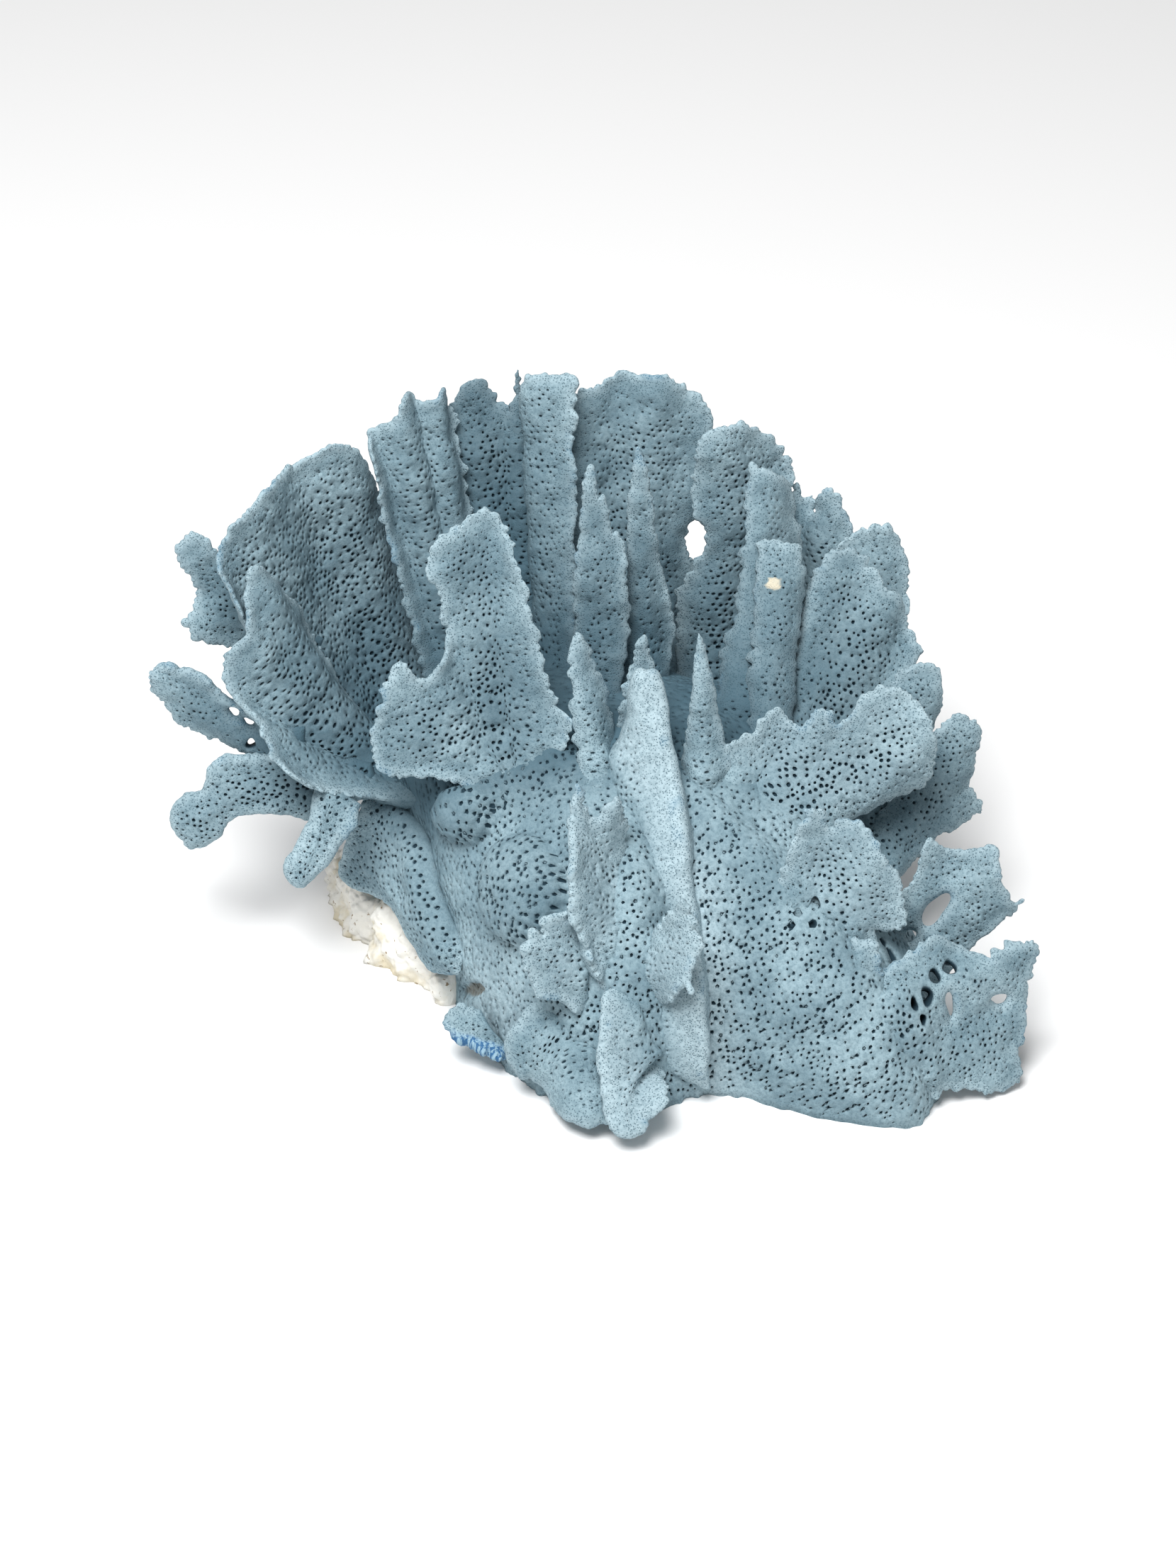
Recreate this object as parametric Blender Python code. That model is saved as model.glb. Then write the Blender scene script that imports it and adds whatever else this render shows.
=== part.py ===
"""A skeleton of blue ridge coral: thin ridged plates and fingers fanning out of one low foot."""

import math

import bmesh
import bpy
import numpy as np

MM = 0.001

# Points on the outer edges are given as they are seen from the front, looking down at
# VIEW_TILT from VIEW_REACH away at a spot MIDDLE_HEIGHT above the ground: how far across,
# how far up, both square to that view, and how deep from front to back along the ground.
VIEW_TILT = math.radians(35)
VIEW_REACH = 1200.0
MIDDLE_HEIGHT = 62.3

# Clear space between neighbours, and the least height of anything above the ground.
GAP = 0.36
GROUND_CLEAR = 0.4
# Points closer than this become one after a cut. The first distance that leaves a closed surface
# is used.
MERGES = (0.03, 0.015, 0.006, 0.002)

FOOT_HEIGHT = 80.0
FOOT_MIDDLE = (8.0, 4.0)
# The foot's cut face on the ground, counter-clockwise from the right.
FOOT_OUTLINE = [
    (92, 4), (98, -36), (96, -66), (86, -77), (60, -71), (36, -62), (14, -71), (-8, -66),
    (-23, -51), (-36, -36), (-47, -18), (-57, 4), (-70, 27), (-64, 48), (-36, 60), (8, 64),
    (50, 58), (78, 36),
]
# How far the foot's left side hangs out over its cut face, and the upright pleats round its
# sides and back: their number and depth.
FOOT_OVERHANG = 9.0
FOOT_PLEATS = (11, 2.6)
# The power of the foot's slope: even at the front, steeper where a bearing turns to the back.
FRONT_SLOPE = 1.45
BACK_SLOPE = 2.4
BACK_TURN = 0.6
# Round lumps on the foot: where, half width, half length, height.
FOOT_LUMPS = [
    (-36, -17.5, 9.0, 9.0, 12.0),
    (-18.5, -39.5, 11.5, 13.0, 17.0),
]
# Spokes and rings of the foot's faces, and the power that draws its rings to the ground.
FOOT_SPOKES = 46
FOOT_RINGS = 9
RING_POWER = 1.3

# Each plate leaves the foot along its root, given in x, y, z, and ends in its rim, given as it
# is seen. bow bends it between the two. thick is its thickness at the root and at the rim,
# folds the number and depth of its upright folds, and grid its columns and rows of faces.
LARGE = (12, 3)
SMALL = (7, 2)
# A plate's thickness at its very rim and at its two ends, as shares of what it would be.
RIM_TAPER = 0.55
END_TAPER = 0.45
# Normals are worked out from steps this long, no nearer than this to the edge of the sheet.
STEP = 0.01
MARGIN = 0.012
PLATES = {
    "central_ridge": dict(
        root=[(9, 4, 62), (12, -14, 52), (16, -34, 34), (20, -50, 18), (23, -56, 4)],
        rim=[(11.6, 14, 0), (13, 31, -2), (16, 32, -4), (19.8, 31, -6), (22, 18, -12),
             (24.8, 0.6, -22), (27, -14, -34), (29, -32, -44), (31, -50, -56), (32, -64, -64),
             (33, -78, -68), (34, -86, -67)],
        bow=(1, 0, 0), thick=(20, 11), folds=(0, 0), grid=(11, 2)),
    "left_fan": dict(
        root=[(-54, 4, 34), (-56, 24, 36), (-46, 40, 38), (-26, 46, 40)],
        rim=[(-94, 38, 18), (-101, 52, 22), (-103, 65, 27), (-98, 76, 35), (-88, 87, 48),
             (-79, 92, 56), (-69, 96, 64), (-60, 86, 70), (-52, 70, 72)],
        bow=(-9, 9, -14), thick=(9, 2.8), folds=(3, 1.6), grid=LARGE),
    "left_front_lobe": dict(
        root=[(-46, 2, 56), (-50, 14, 48), (-46, 28, 42)],
        rim=[(-82, 2, -9), (-89.4, 6, -4), (-92.8, 12, 1), (-94, 20, 5), (-98.6, 24.4, 6),
             (-102.2, 29, 8), (-101.6, 37, 10), (-96, 44, 12), (-98.2, 51, 15), (-97, 58, 18),
             (-92.8, 62, 20), (-88, 58, 27), (-82, 51, 34), (-76, 42, 35)],
        bow=(-6, 3, -9), thick=(9, 3.4), folds=(2, 1.4), grid=(11, 3)),
    "upper_left_finger": dict(
        root=[(-76, 42, 84), (-78, 36, 74), (-76, 30, 62)],
        rim=[(-100, 62, 42), (-105, 66.8, 43), (-108.6, 70, 44), (-112.6, 70.6, 44), (-116.6, 66.8, 44),
             (-116, 63.8, 43), (-112.6, 58, 42), (-110.8, 54, 41), (-110.8, 50.4, 40),
             (-114.4, 46.4, 38), (-112.6, 42.4, 37), (-108, 39.4, 36), (-100, 38, 35)],
        bow=(0, 3, 0), thick=(8, 4.4), folds=(0, 0), grid=SMALL),
    "middle_left_finger": dict(
        root=[(-80, 12, 74), (-80, 10, 66), (-80, 8, 58)],
        rim=[(-94, 21, 10), (-102.2, 24.4, 11), (-109.2, 30.2, 12), (-116, 33.4, 14), (-122, 33.6, 16),
             (-124.8, 30.8, 16), (-123, 26.6, 16), (-117.2, 18.6, 15), (-112.6, 15, 14),
             (-104.4, 11.6, 12), (-95.2, 7, 10)],
        bow=(0, 0, -2), thick=(9, 5), folds=(0, 0), grid=SMALL),
    "lower_left_finger": dict(
        root=[(-64, 14, 62), (-62, 8, 55), (-62, 4, 48)],
        rim=[(-86, 9, 8), (-96.4, 8, 8), (-102.2, 8.2, 8), (-107.4, 4.6, 8), (-110, -1.2, 7),
             (-115, -4, 6), (-117.8, -10.4, 4), (-112.6, -18, 3), (-105, -17, 3), (-94, -14, 4)],
        bow=(0, 0, 4), thick=(12, 7), folds=(0, 0), grid=SMALL),
    "hanging_left_finger": dict(
        root=[(-77, 2, 61), (-68, -1, 60), (-60, -5, 56)],
        rim=[(-78.6, -10, -8), (-82, -17, -11), (-85.5, -23, -13), (-84, -28, -14), (-80, -29, -14),
             (-74, -23, -13), (-70, -17, -11), (-65, -12, -9)],
        bow=(0, 0, 2), thick=(13, 10), folds=(0, 0), grid=SMALL),
    "back_fan": dict(
        root=[(-5, 43, 44), (6, 48, 44), (16, 48, 44), (24, 44, 44)],
        rim=[(-6, 98, 76), (-5.6, 109, 78), (4.6, 114, 80), (9.8, 116, 82), (16.4, 116, 82),
             (22, 115, 80), (28.2, 112, 79), (33.4, 105, 78), (34, 96, 77), (32, 86, 75)],
        bow=(0, 4, -6), thick=(9, 2.6), folds=(4, 1.6), grid=LARGE),
    "back_plate": dict(
        root=[(-26, 46, 40), (-18, 50, 40), (-8, 50, 40)],
        rim=[(-42, 96, 86), (-37, 111, 88), (-30.6, 114, 88), (-23, 107, 88), (-21.6, 106, 88),
             (-19.8, 117, 88), (-17, 106, 88), (-12, 98, 86)],
        bow=(0, 4, -6), thick=(9, 2.6), folds=(2, 1.2), grid=(9, 3)),
    "ribbed_back_plate": dict(
        root=[(-42, 36, 42), (-33, 41, 44), (-25, 44, 44)],
        rim=[(-60, 80, 62), (-62, 98, 68), (-57.6, 102, 72), (-51, 110, 76), (-46, 108, 78),
             (-41, 111.6, 82), (-37, 104, 82)],
        bow=(2, 2, -8), thick=(9, 3), folds=(3, 3.4), grid=(11, 3)),
    "back_fin": dict(
        root=[(-14, 44, 56), (-9, 36, 58), (-4, 28, 60)],
        rim=[(-17.4, 106, 80), (-17, 115, 78), (-11, 115.6, 75), (-4.4, 113.4, 71), (-3, 99, 67)],
        bow=(0, 3, -4), thick=(9, 4), folds=(1, 1.5), grid=SMALL),
    "back_right_plate": dict(
        root=[(25, 38, 46), (34, 42, 44), (45, 42, 40)],
        rim=[(25, 55, 58), (27.5, 63, 60.5), (30.5, 76, 64), (33, 97, 68), (38.4, 101.6, 71),
             (45, 101.6, 74), (51, 98, 76), (57.8, 91.6, 76), (58, 78, 72)],
        bow=(0, 3, -6), thick=(9, 2.8), folds=(2, 1.4), grid=(11, 3)),
    "back_right_spikes": dict(
        root=[(46, 40, 38), (54, 38, 36), (61, 33, 34)],
        rim=[(55, 76, 76), (58.6, 85, 78), (61, 81, 78), (63.6, 81.6, 77), (64.2, 77, 76),
             (65.4, 83, 74), (70.4, 82, 72), (74.6, 70, 68), (73, 60, 64)],
        bow=(0, 3, -5), thick=(8, 2.8), folds=(2, 1.0), grid=(9, 2)),
    "inner_spike": dict(
        root=[(10, 30, 70), (16, 32, 70), (22, 30, 68)],
        rim=[(10.6, 53, 40), (11, 77, 42), (13, 92, 44), (14, 95, 44), (16, 92, 44),
             (18.4, 80, 43), (20, 66, 42), (25, 44, 38)],
        bow=(0, 2, 0), thick=(9, 3.6), folds=(0, 0), grid=SMALL),
    "stepped_inner_plate": dict(
        root=[(-4, 20, 70), (2, 22, 72), (8, 16, 72)],
        rim=[(-4, 60, 34), (-2, 78, 38), (1.4, 89, 40), (4.6, 80, 39), (8, 68, 36), (10, 58, 34),
             (10.5, 42, 30)],
        bow=(0, 2, 0), thick=(8, 3.4), folds=(0, 0), grid=(8, 2)),
    "right_plate": dict(
        root=[(30, 2, 64), (40, 4, 62), (50, 4, 57)],
        rim=[(38, 42, 38), (42, 60, 44), (44, 76, 50), (45, 88, 54), (47, 90, 54), (53.6, 87.4, 56),
             (58.6, 80, 56), (60, 68, 54)],
        bow=(0, 4, -6), thick=(9, 3), folds=(2, 1.2), grid=(9, 3)),
    "right_plate_lobe": dict(
        root=[(43, -6, 60), (49, -6, 58), (55, -7, 54)],
        rim=[(46, 44, 32), (47, 58, 38), (48.4, 68, 42), (52.6, 69, 42), (60, 66, 42), (61, 56, 40)],
        bow=(0, 2, -2), thick=(8, 4), folds=(0, 0), grid=SMALL),
    "right_back_lobe": dict(
        root=[(60, 30, 36), (66, 24, 34), (70, 16, 32)],
        rim=[(68, 64, 60), (75.4, 71.4, 64), (83.8, 73.8, 64), (88.8, 68, 62), (90.6, 57.8, 58),
             (90, 48, 52)],
        bow=(0, 2, -5), thick=(8, 2.8), folds=(1, 1.0), grid=SMALL),
    "right_fan": dict(
        root=[(44, -4, 58), (53, -5, 53), (62, -8, 46), (69, -12, 40)],
        rim=[(62, 58, 44), (68.6, 66, 46), (77, 66, 46), (83, 58, 44), (88.8, 51, 42), (91, 45, 40),
             (94, 37.6, 36), (91, 29, 31)],
        bow=(0, 4, -9), thick=(9, 2.8), folds=(3, 1.4), grid=LARGE),
    "far_right_upper_lobe": dict(
        root=[(72, 2, 44), (76, -2, 40), (78, -6, 34)],
        rim=[(87, 33, 24), (94, 34, 24), (99.4, 32, 24), (99.4, 25, 22), (98.4, 18, 20), (93, 6, 15)],
        bow=(0, 1, -4), thick=(8, 2.8), folds=(1, 0.8), grid=SMALL),
    "far_right_lobe": dict(
        root=[(78, -2, 46), (82, -7, 41), (84, -12, 35)],
        rim=[(95, 13, 14), (103, 20, 18), (108, 18.6, 18), (110.6, 13, 17), (108.6, 4.4, 15),
             (107.6, 1, 14), (111.6, -5.6, 12), (110, -9, 12), (97, -14, 7)],
        bow=(0, 0, -3), thick=(8, 3), folds=(1, 1.0), grid=(9, 2)),
    "front_right_fan": dict(
        root=[(24, -22, 60), (38, -22, 57), (52, -24, 52), (62, -26, 46)],
        rim=[(36, 7, -8), (47, 17, -5), (53, 20, -3), (59, 18, -3), (66, 21, -2), (71, 18, -2),
             (77, 24, 0), (83, 27.6, 0), (90, 26, 0), (96.4, 18, -2), (97.6, 8, -4), (93, -1, -6),
             (84, -6, -8)],
        bow=(0, 3, -5), thick=(11, 2.8), folds=(3, 1.6), grid=(14, 3)),
    "front_spike": dict(
        root=[(26, -22, 60), (32, -21, 60), (37, -22, 58)],
        rim=[(25, 0, -11), (27.6, 14, -7), (29.4, 28, -5), (30.2, 38, -4), (31.2, 42.6, -4),
             (33.4, 38, -4), (36, 26, -5), (38.2, 14, -8), (41, 6, -10)],
        bow=(0, 0, 0), thick=(11, 5), folds=(0, 0), grid=SMALL),
    "ridge_top_lobe": dict(
        root=[(8, 0, 68), (13, 2, 70), (18, 0, 68)],
        rim=[(9, 24, 4), (12, 34, 8), (15, 41, 10), (16.4, 41.6, 10), (18, 36, 9), (20, 26, 7)],
        bow=(0, 0, 0), thick=(8, 3.4), folds=(0, 0), grid=SMALL),
    "ridge_left_lobe": dict(
        root=[(-5, -16, 64), (2, -16, 66), (8, -14, 64)],
        rim=[(-3, 4, -2), (-5, 26, 2), (-5.8, 36, 4), (-3.8, 42.8, 6), (-1, 40, 6), (2, 34, 5),
             (5, 26, 4), (8, 14, 1)],
        bow=(0, 0, -2), thick=(9, 3.4), folds=(1, 1.0), grid=SMALL),
    "front_left_blade": dict(
        root=[(-22, -26, 58), (-26, -16, 60), (-24, -6, 62), (-16, -4, 66), (-8, -10, 66)],
        rim=[(-31, -4, -16), (-42.4, 0.6, -16), (-56, 1.4, -15), (-61, 7.4, -13), (-60, 18, -10),
             (-54.6, 35, -4), (-47, 30, -3), (-40, 37, 0), (-42, 52, 6), (-45.8, 61, 10),
             (-43, 69, 13), (-38, 73, 15), (-30, 77.2, 18), (-25.6, 76.4, 18), (-21, 68, 15),
             (-18.8, 58, 11), (-15, 46, 6), (-10, 28, 0), (-5, 16, -5)],
        bow=(-2, 3, -6), thick=(11, 3), folds=(4, 1.6), grid=(16, 3)),
    "front_blade": dict(
        root=[(8, -56, 24), (8, -46, 38), (9, -34, 50), (12, -26, 56)],
        rim=[(2, -46, -58), (-4, -41, -56), (-6.2, -34, -53), (-5.4, -21, -46), (-5, -10, -40),
             (-3.8, -2, -36), (-1, -4, -36), (4, -9, -38), (10, -2, -32), (13, -8, -34)],
        bow=(-2, -3, 0), thick=(12, 3.4), folds=(2, 1.4), grid=(11, 2)),
    "front_low_lobe": dict(
        root=[(0, -46, 42), (-1, -54, 33), (1, -60, 24)],
        rim=[(-5, -36, -55), (-9, -36.8, -56), (-12.4, -38.5, -57), (-11.8, -43.2, -58), (-14.6, -41, -58),
             (-17.4, -42, -58.5), (-19.2, -47, -60), (-18.8, -52.8, -62), (-15.8, -57.6, -63),
             (-14.6, -61, -65), (-6, -62, -66)],
        bow=(0, -2, 2), thick=(10, 4.4), folds=(1, 1.0), grid=SMALL),
    "curled_ear": dict(
        root=[(17, -46, 44), (19, -52, 36), (20, -56, 26)],
        rim=[(22.8, -35.6, -59), (26.4, -33.2, -61), (29.4, -36, -62), (30.8, -41, -64), (31.6, -46, -66),
             (30.4, -52, -68), (29.2, -58.8, -71), (25.8, -58, -70)],
        bow=(-1, -4, 2), thick=(12, 4), folds=(0, 0), grid=SMALL),
    "front_left_foot": dict(
        root=[(-12, -50, 26), (-6, -54, 22), (0, -58, 17), (6, -60, 11)],
        rim=[(-19, -65, -58), (-23, -70, -60), (-23.4, -76, -61), (-20, -82, -62), (-13.4, -85, -65),
             (-9.6, -91, -72), (-6, -95, -79), (0, -97, -82), (6, -96, -81)],
        bow=(0, -3, 4), thick=(15, 9), folds=(2, 1.0), grid=(11, 2)),
    "front_foot": dict(
        root=[(10, -54, 34), (13, -58, 26), (17, -60, 16), (21, -60, 7)],
        rim=[(4.4, -60, -65), (5, -66, -69), (4, -76, -75), (4.6, -86, -80), (5, -95, -84.5),
             (8.6, -99.4, -87), (14, -99.4, -87), (19, -93, -84), (25, -84, -78)],
        bow=(-2, -2, 2), thick=(14, 8), folds=(1, 1.0), grid=(11, 2)),
    "right_front_plate": dict(
        root=[(44, -42, 46), (56, -46, 38), (66, -50, 30), (72, -54, 22)],
        rim=[(53, -27, -42), (57, -18, -40), (60.5, -9, -38), (63.6, -6.4, -38), (66, -7.5, -38),
             (68.6, -12, -39), (72, -10.4, -39), (76.4, -10.4, -39), (80.2, -13, -40), (83.6, -19.2, -42),
             (88, -27.4, -44), (89.8, -36.4, -47), (88, -41.4, -49), (81.4, -43, -50)],
        bow=(0, 0, -4), thick=(12, 3), folds=(2, 1.4), grid=(11, 3)),
    "right_front_lobe": dict(
        root=[(64, -52, 28), (66, -56, 20), (66, -60, 12)],
        rim=[(74, -43, -52), (80, -44, -53), (82.4, -48, -55), (83.4, -54, -57), (82, -59, -59),
             (76, -61, -60)],
        bow=(0, -2, 2), thick=(13, 5), folds=(0, 0), grid=SMALL),
    "right_holed_plate": dict(
        root=[(82, -36, 32), (88, -40, 26), (92, -44, 18)],
        rim=[(88, -31, -34), (92.4, -25.2, -31), (93.6, -19.8, -29), (96.4, -14.8, -28),
             (101.4, -18.6, -28), (106.8, -18.6, -28), (114.6, -17.6, -28), (116.4, -22, -29),
             (116.8, -27.4, -30), (119.6, -32.4, -31), (123.2, -32.8, -31), (121.2, -35.8, -32), (116.8, -38.6, -33),
             (110.2, -44.2, -36)],
        bow=(0, 0, -3), thick=(9, 3), folds=(2, 1.2), grid=(11, 2)),
    "low_back_left_plate": dict(
        root=[(-56, 38, 12), (-46, 44, 16), (-34, 48, 16)],
        rim=[(-80, 20, 60), (-78, 32, 68), (-67, 39, 76), (-54, 38, 79), (-44, 28, 76)],
        bow=(0, 2, -6), thick=(9, 3), folds=(2, 1.4), grid=SMALL),
    "low_back_middle_plate": dict(
        root=[(-24, 48, 14), (-10, 50, 18), (2, 50, 16)],
        rim=[(-32, 22, 80), (-24, 33, 86), (-10, 36, 90), (2, 31, 88), (8, 20, 80)],
        bow=(0, 2, -6), thick=(9, 3), folds=(2, 1.4), grid=SMALL),
    "low_back_right_plate": dict(
        root=[(18, 48, 18), (31, 47, 20), (43, 44, 16)],
        rim=[(12, 30, 76), (20, 41, 84), (34, 42, 87), (46, 33, 80), (50, 22, 70)],
        bow=(0, 2, -6), thick=(9, 3), folds=(2, 1.4), grid=SMALL),
    "low_right_back_plate": dict(
        root=[(56, 36, 18), (66, 30, 20), (74, 20, 16)],
        rim=[(58, 20, 62), (70, 29, 67), (84, 24, 58), (92, 10, 42), (90, 0, 30)],
        bow=(0, 2, -6), thick=(9, 3), folds=(2, 1.4), grid=SMALL),
    "right_tip_plate": dict(
        root=[(72, -60, 36), (77, -64, 26), (81, -67, 14), (84, -68, 4)],
        rim=[(98, -42, -44), (109, -47.4, -43), (113.6, -46.4, -42), (121.2, -43.6, -41),
             (126.2, -44.6, -41), (125.2, -54, -45), (123.4, -59.6, -47), (124, -69.6, -52),
             (122.4, -76.2, -56), (123, -83, -60), (114.6, -87.4, -64), (108, -86.8, -66), (98, -88, -69)],
        bow=(0, -2, 0), thick=(12, 3.6), folds=(1, 1.2), grid=(11, 2)),
}

# The white crust follows the foot's lower left edge along the ground: path, half width, height.
CRUST_PATH = [(-72, 40), (-67, 22), (-58, 4), (-48, -13), (-37, -29)]
CRUST_HALF_WIDTH = 9.0
CRUST_HEIGHT = 13.0
# The crust's size at its two ends, and two swellings along it: their size, number and start.
CRUST_END = 0.35
CRUST_SWELLS = [(0.16, 11, 1), (0.10, 27, 0)]
CRUST_LENGTHS = 12
CRUST_AROUND = 8
CRUST_SHOULDER = 0.8

# The broken flap stands out of the foot's lower left edge: its root and its rim.
BROKEN_EDGE = dict(
    root=[(-30, -44, 16), (-26, -48, 10), (-22, -52, 4)],
    rim=[(-38, -62, -44), (-41, -67, -46), (-38, -72, -50), (-30, -75.5, -54), (-22, -77, -55)],
    bow=(0, 0, 0), thick=(8, 5), folds=(0, 0), grid=SMALL)

SLATE_BLUE = (0.26, 0.37, 0.42, 1.0)
LIGHT_BLUE = (0.36, 0.47, 0.52, 1.0)
CHALK_WHITE = (0.83, 0.81, 0.74, 1.0)
VIVID_BLUE = (0.14, 0.30, 0.46, 1.0)


def start_empty():
    """Take away every object that is in the scene."""
    for old in list(bpy.data.objects):
        bpy.data.objects.remove(old, do_unlink=True)


def finish_of(name, colour, roughness):
    """A material with one colour and one roughness."""
    material = bpy.data.materials.new(name)
    material.use_nodes = True
    shader = material.node_tree.nodes["Principled BSDF"]
    shader.inputs["Base Color"].default_value = colour
    shader.inputs["Roughness"].default_value = roughness
    shader.inputs["Metallic"].default_value = 0.0
    return material


def seen_point(across, up, depth):
    """x, y, z of the point that is seen at (across, up), depth behind the middle."""
    eye = np.array([0.0, -math.cos(VIEW_TILT) * VIEW_REACH, math.sin(VIEW_TILT) * VIEW_REACH])
    eye[2] += MIDDLE_HEIGHT
    on_view = np.array([across, up * math.sin(VIEW_TILT), up * math.cos(VIEW_TILT) + MIDDLE_HEIGHT])
    share = (depth - eye[1]) / (on_view[1] - eye[1])
    point = eye + share * (on_view - eye)
    point[2] = max(point[2], GROUND_CLEAR)
    return point


def smooth_line(points, along):
    """Catmull-Rom curve through the points, for an array of places from 0 to 1 along it."""
    points = np.asarray(points, float)
    ends = np.vstack([2 * points[0] - points[1], points, 2 * points[-1] - points[-2]])
    place = np.clip(along, 0, 1) * (len(points) - 1)
    first = np.minimum(place.astype(int), len(points) - 2)
    f = (place - first)[..., None]
    a, b, c, d = ends[first], ends[first + 1], ends[first + 2], ends[first + 3]
    return 0.5 * (2 * b + (c - a) * f + (2 * a - 5 * b + 4 * c - d) * f**2 + (3 * b - a - 3 * c + d) * f**3)


def middle_sheet(plate, along, rise):
    """The sheet in the middle of a plate: a quadratic curve from root to rim in each column."""
    root = smooth_line(plate["root"], along)
    rim = smooth_line([seen_point(*p) for p in plate["rim"]], along)
    waist = (root + rim) / 2 + np.array(plate["bow"], float)
    v = rise[..., None]
    return (1 - v) ** 2 * root + 2 * v * (1 - v) * waist + v**2 * rim


def sheet_normals(plate, along, rise):
    """Unit normals of the middle sheet, from small steps along and up it."""
    along = np.clip(along, MARGIN, 1 - MARGIN)
    rise = np.clip(rise, MARGIN, 1 - MARGIN)
    sideways = middle_sheet(plate, along + STEP, rise) - middle_sheet(plate, along - STEP, rise)
    upward = middle_sheet(plate, along, rise + STEP) - middle_sheet(plate, along, rise - STEP)
    normal = np.cross(sideways, upward)
    return normal / np.maximum(np.linalg.norm(normal, axis=-1, keepdims=True), 1e-9)


def plate_mesh(plate):
    """Points and faces of a plate: a front and a back sheet, closed round root, rim and ends."""
    columns, rows = plate["grid"]
    along = np.linspace(0, 1, columns + 1)[:, None] * np.ones(rows + 1)
    rise = np.linspace(0, 1, rows + 1) * np.ones((columns + 1, 1))
    normal = sheet_normals(plate, along, rise)
    sheet = middle_sheet(plate, along, rise)

    at_root, at_rim = plate["thick"]
    thickness = at_rim + (at_root - at_rim) * (1 - rise) ** 2
    thickness[:, -1] *= RIM_TAPER
    thickness = thickness * (END_TAPER + (1 - END_TAPER) * np.sqrt(np.clip(4 * along * (1 - along), 0, 1)))
    count, depth = plate["folds"]
    fold = depth * np.sin(2 * math.pi * count * along) * rise
    front = sheet + normal * (fold + thickness / 2)[..., None]
    back = sheet + normal * (fold - thickness / 2)[..., None]

    loop = np.concatenate([front, back[:, ::-1]], axis=1)
    around = loop.shape[1]
    points = loop.reshape(-1, 3)
    points[:, 2] = np.maximum(points[:, 2], GROUND_CLEAR)

    faces = []
    for column in range(columns):
        for step in range(around):
            after = (step + 1) % around
            here = column * around
            there = here + around
            faces.append((here + step, here + after, there + after, there + step))
    for column in (0, columns):
        start = column * around
        for row in range(rows):
            faces.append((start + row, start + row + 1, start + around - 2 - row, start + around - 1 - row))
    return points, faces


def foot_mesh():
    """The foot: rings from its cut outline up to its top, with round lumps on its slope."""
    spokes, rings = FOOT_SPOKES, FOOT_RINGS
    turn = np.linspace(0, 1, spokes, endpoint=False)
    outline = smooth_line(FOOT_OUTLINE + FOOT_OUTLINE[:1], turn)
    middle = np.array(FOOT_MIDDLE)
    spread = outline - middle
    reach = np.linalg.norm(spread, axis=1, keepdims=True)
    outward = spread / reach
    back_side = np.clip(outward[:, 1:] + BACK_TURN, 0, 1)
    left_side = np.clip(-outward[:, :1], 0, 1)
    pleats, pleat_depth = FOOT_PLEATS
    bearing = np.arctan2(outward[:, 1:], outward[:, :1])
    reach = reach + pleat_depth * back_side * np.sin(pleats * bearing)

    # The front slopes evenly to the ground, and the sides and back are steep.
    share = 1 - np.linspace(0, 1, rings, endpoint=False) ** RING_POWER
    power = FRONT_SLOPE + BACK_SLOPE * back_side
    height = FOOT_HEIGHT * np.sqrt(np.maximum(1 - share**power, 0))
    overhang = FOOT_OVERHANG * left_side * 4 * share * (1 - share)
    plan = middle + outward[:, None, :] * (reach * share + overhang)[..., None]
    for x, y, half_width, half_length, lump in FOOT_LUMPS:
        away = ((plan[..., 0] - x) / half_width) ** 2 + ((plan[..., 1] - y) / half_length) ** 2
        height = height + lump * np.sqrt(np.clip(1 - away, 0, 1))
    height[:, 0] = 0

    points = np.concatenate([plan, height[..., None]], axis=2).reshape(-1, 3)
    top = np.array([[*middle, FOOT_HEIGHT]])
    points = np.vstack([points, top])
    faces = []
    for spoke in range(spokes):
        other = (spoke + 1) % spokes
        for ring in range(rings - 1):
            faces.append((spoke * rings + ring, other * rings + ring,
                          other * rings + ring + 1, spoke * rings + ring + 1))
        faces.append((spoke * rings + rings - 1, other * rings + rings - 1, len(points) - 1))
    faces.append(tuple(spoke * rings for spoke in reversed(range(spokes))))
    return points, faces


def crust_mesh():
    """The crust: a lumpy low bank along its path, flat below and closed to a point at each end."""
    lengths, around = CRUST_LENGTHS, CRUST_AROUND
    along = np.linspace(0, 1, lengths + 1)
    path = smooth_line(CRUST_PATH, along)
    ahead = np.gradient(path, axis=0)
    ahead /= np.linalg.norm(ahead, axis=1, keepdims=True)
    outward = np.stack([ahead[:, 1], -ahead[:, 0]], axis=1)
    angle = np.linspace(0, math.pi, around + 1)
    size = CRUST_END + (1 - CRUST_END) * np.sqrt(np.clip(4 * along * (1 - along), 0, 1))
    size = size * (1 + sum(swell * np.sin(number * along + start) for swell, number, start in CRUST_SWELLS))
    across = size[:, None] * CRUST_HALF_WIDTH * np.cos(angle)
    height = size[:, None] * CRUST_HEIGHT * np.sin(angle) ** CRUST_SHOULDER
    plan = path[:, None, :] + outward[:, None, :] * across[..., None]
    points = np.concatenate([plan, height[..., None]], axis=2).reshape(-1, 3)
    ring = around + 1
    faces = []
    for length in range(lengths):
        for step in range(ring):
            after = (step + 1) % ring
            here = length * ring
            faces.append((here + step, here + after, here + ring + after, here + ring + step))
    faces.append(tuple(reversed(range(ring))))
    faces.append(tuple(lengths * ring + step for step in range(ring)))
    return points, faces


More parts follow.
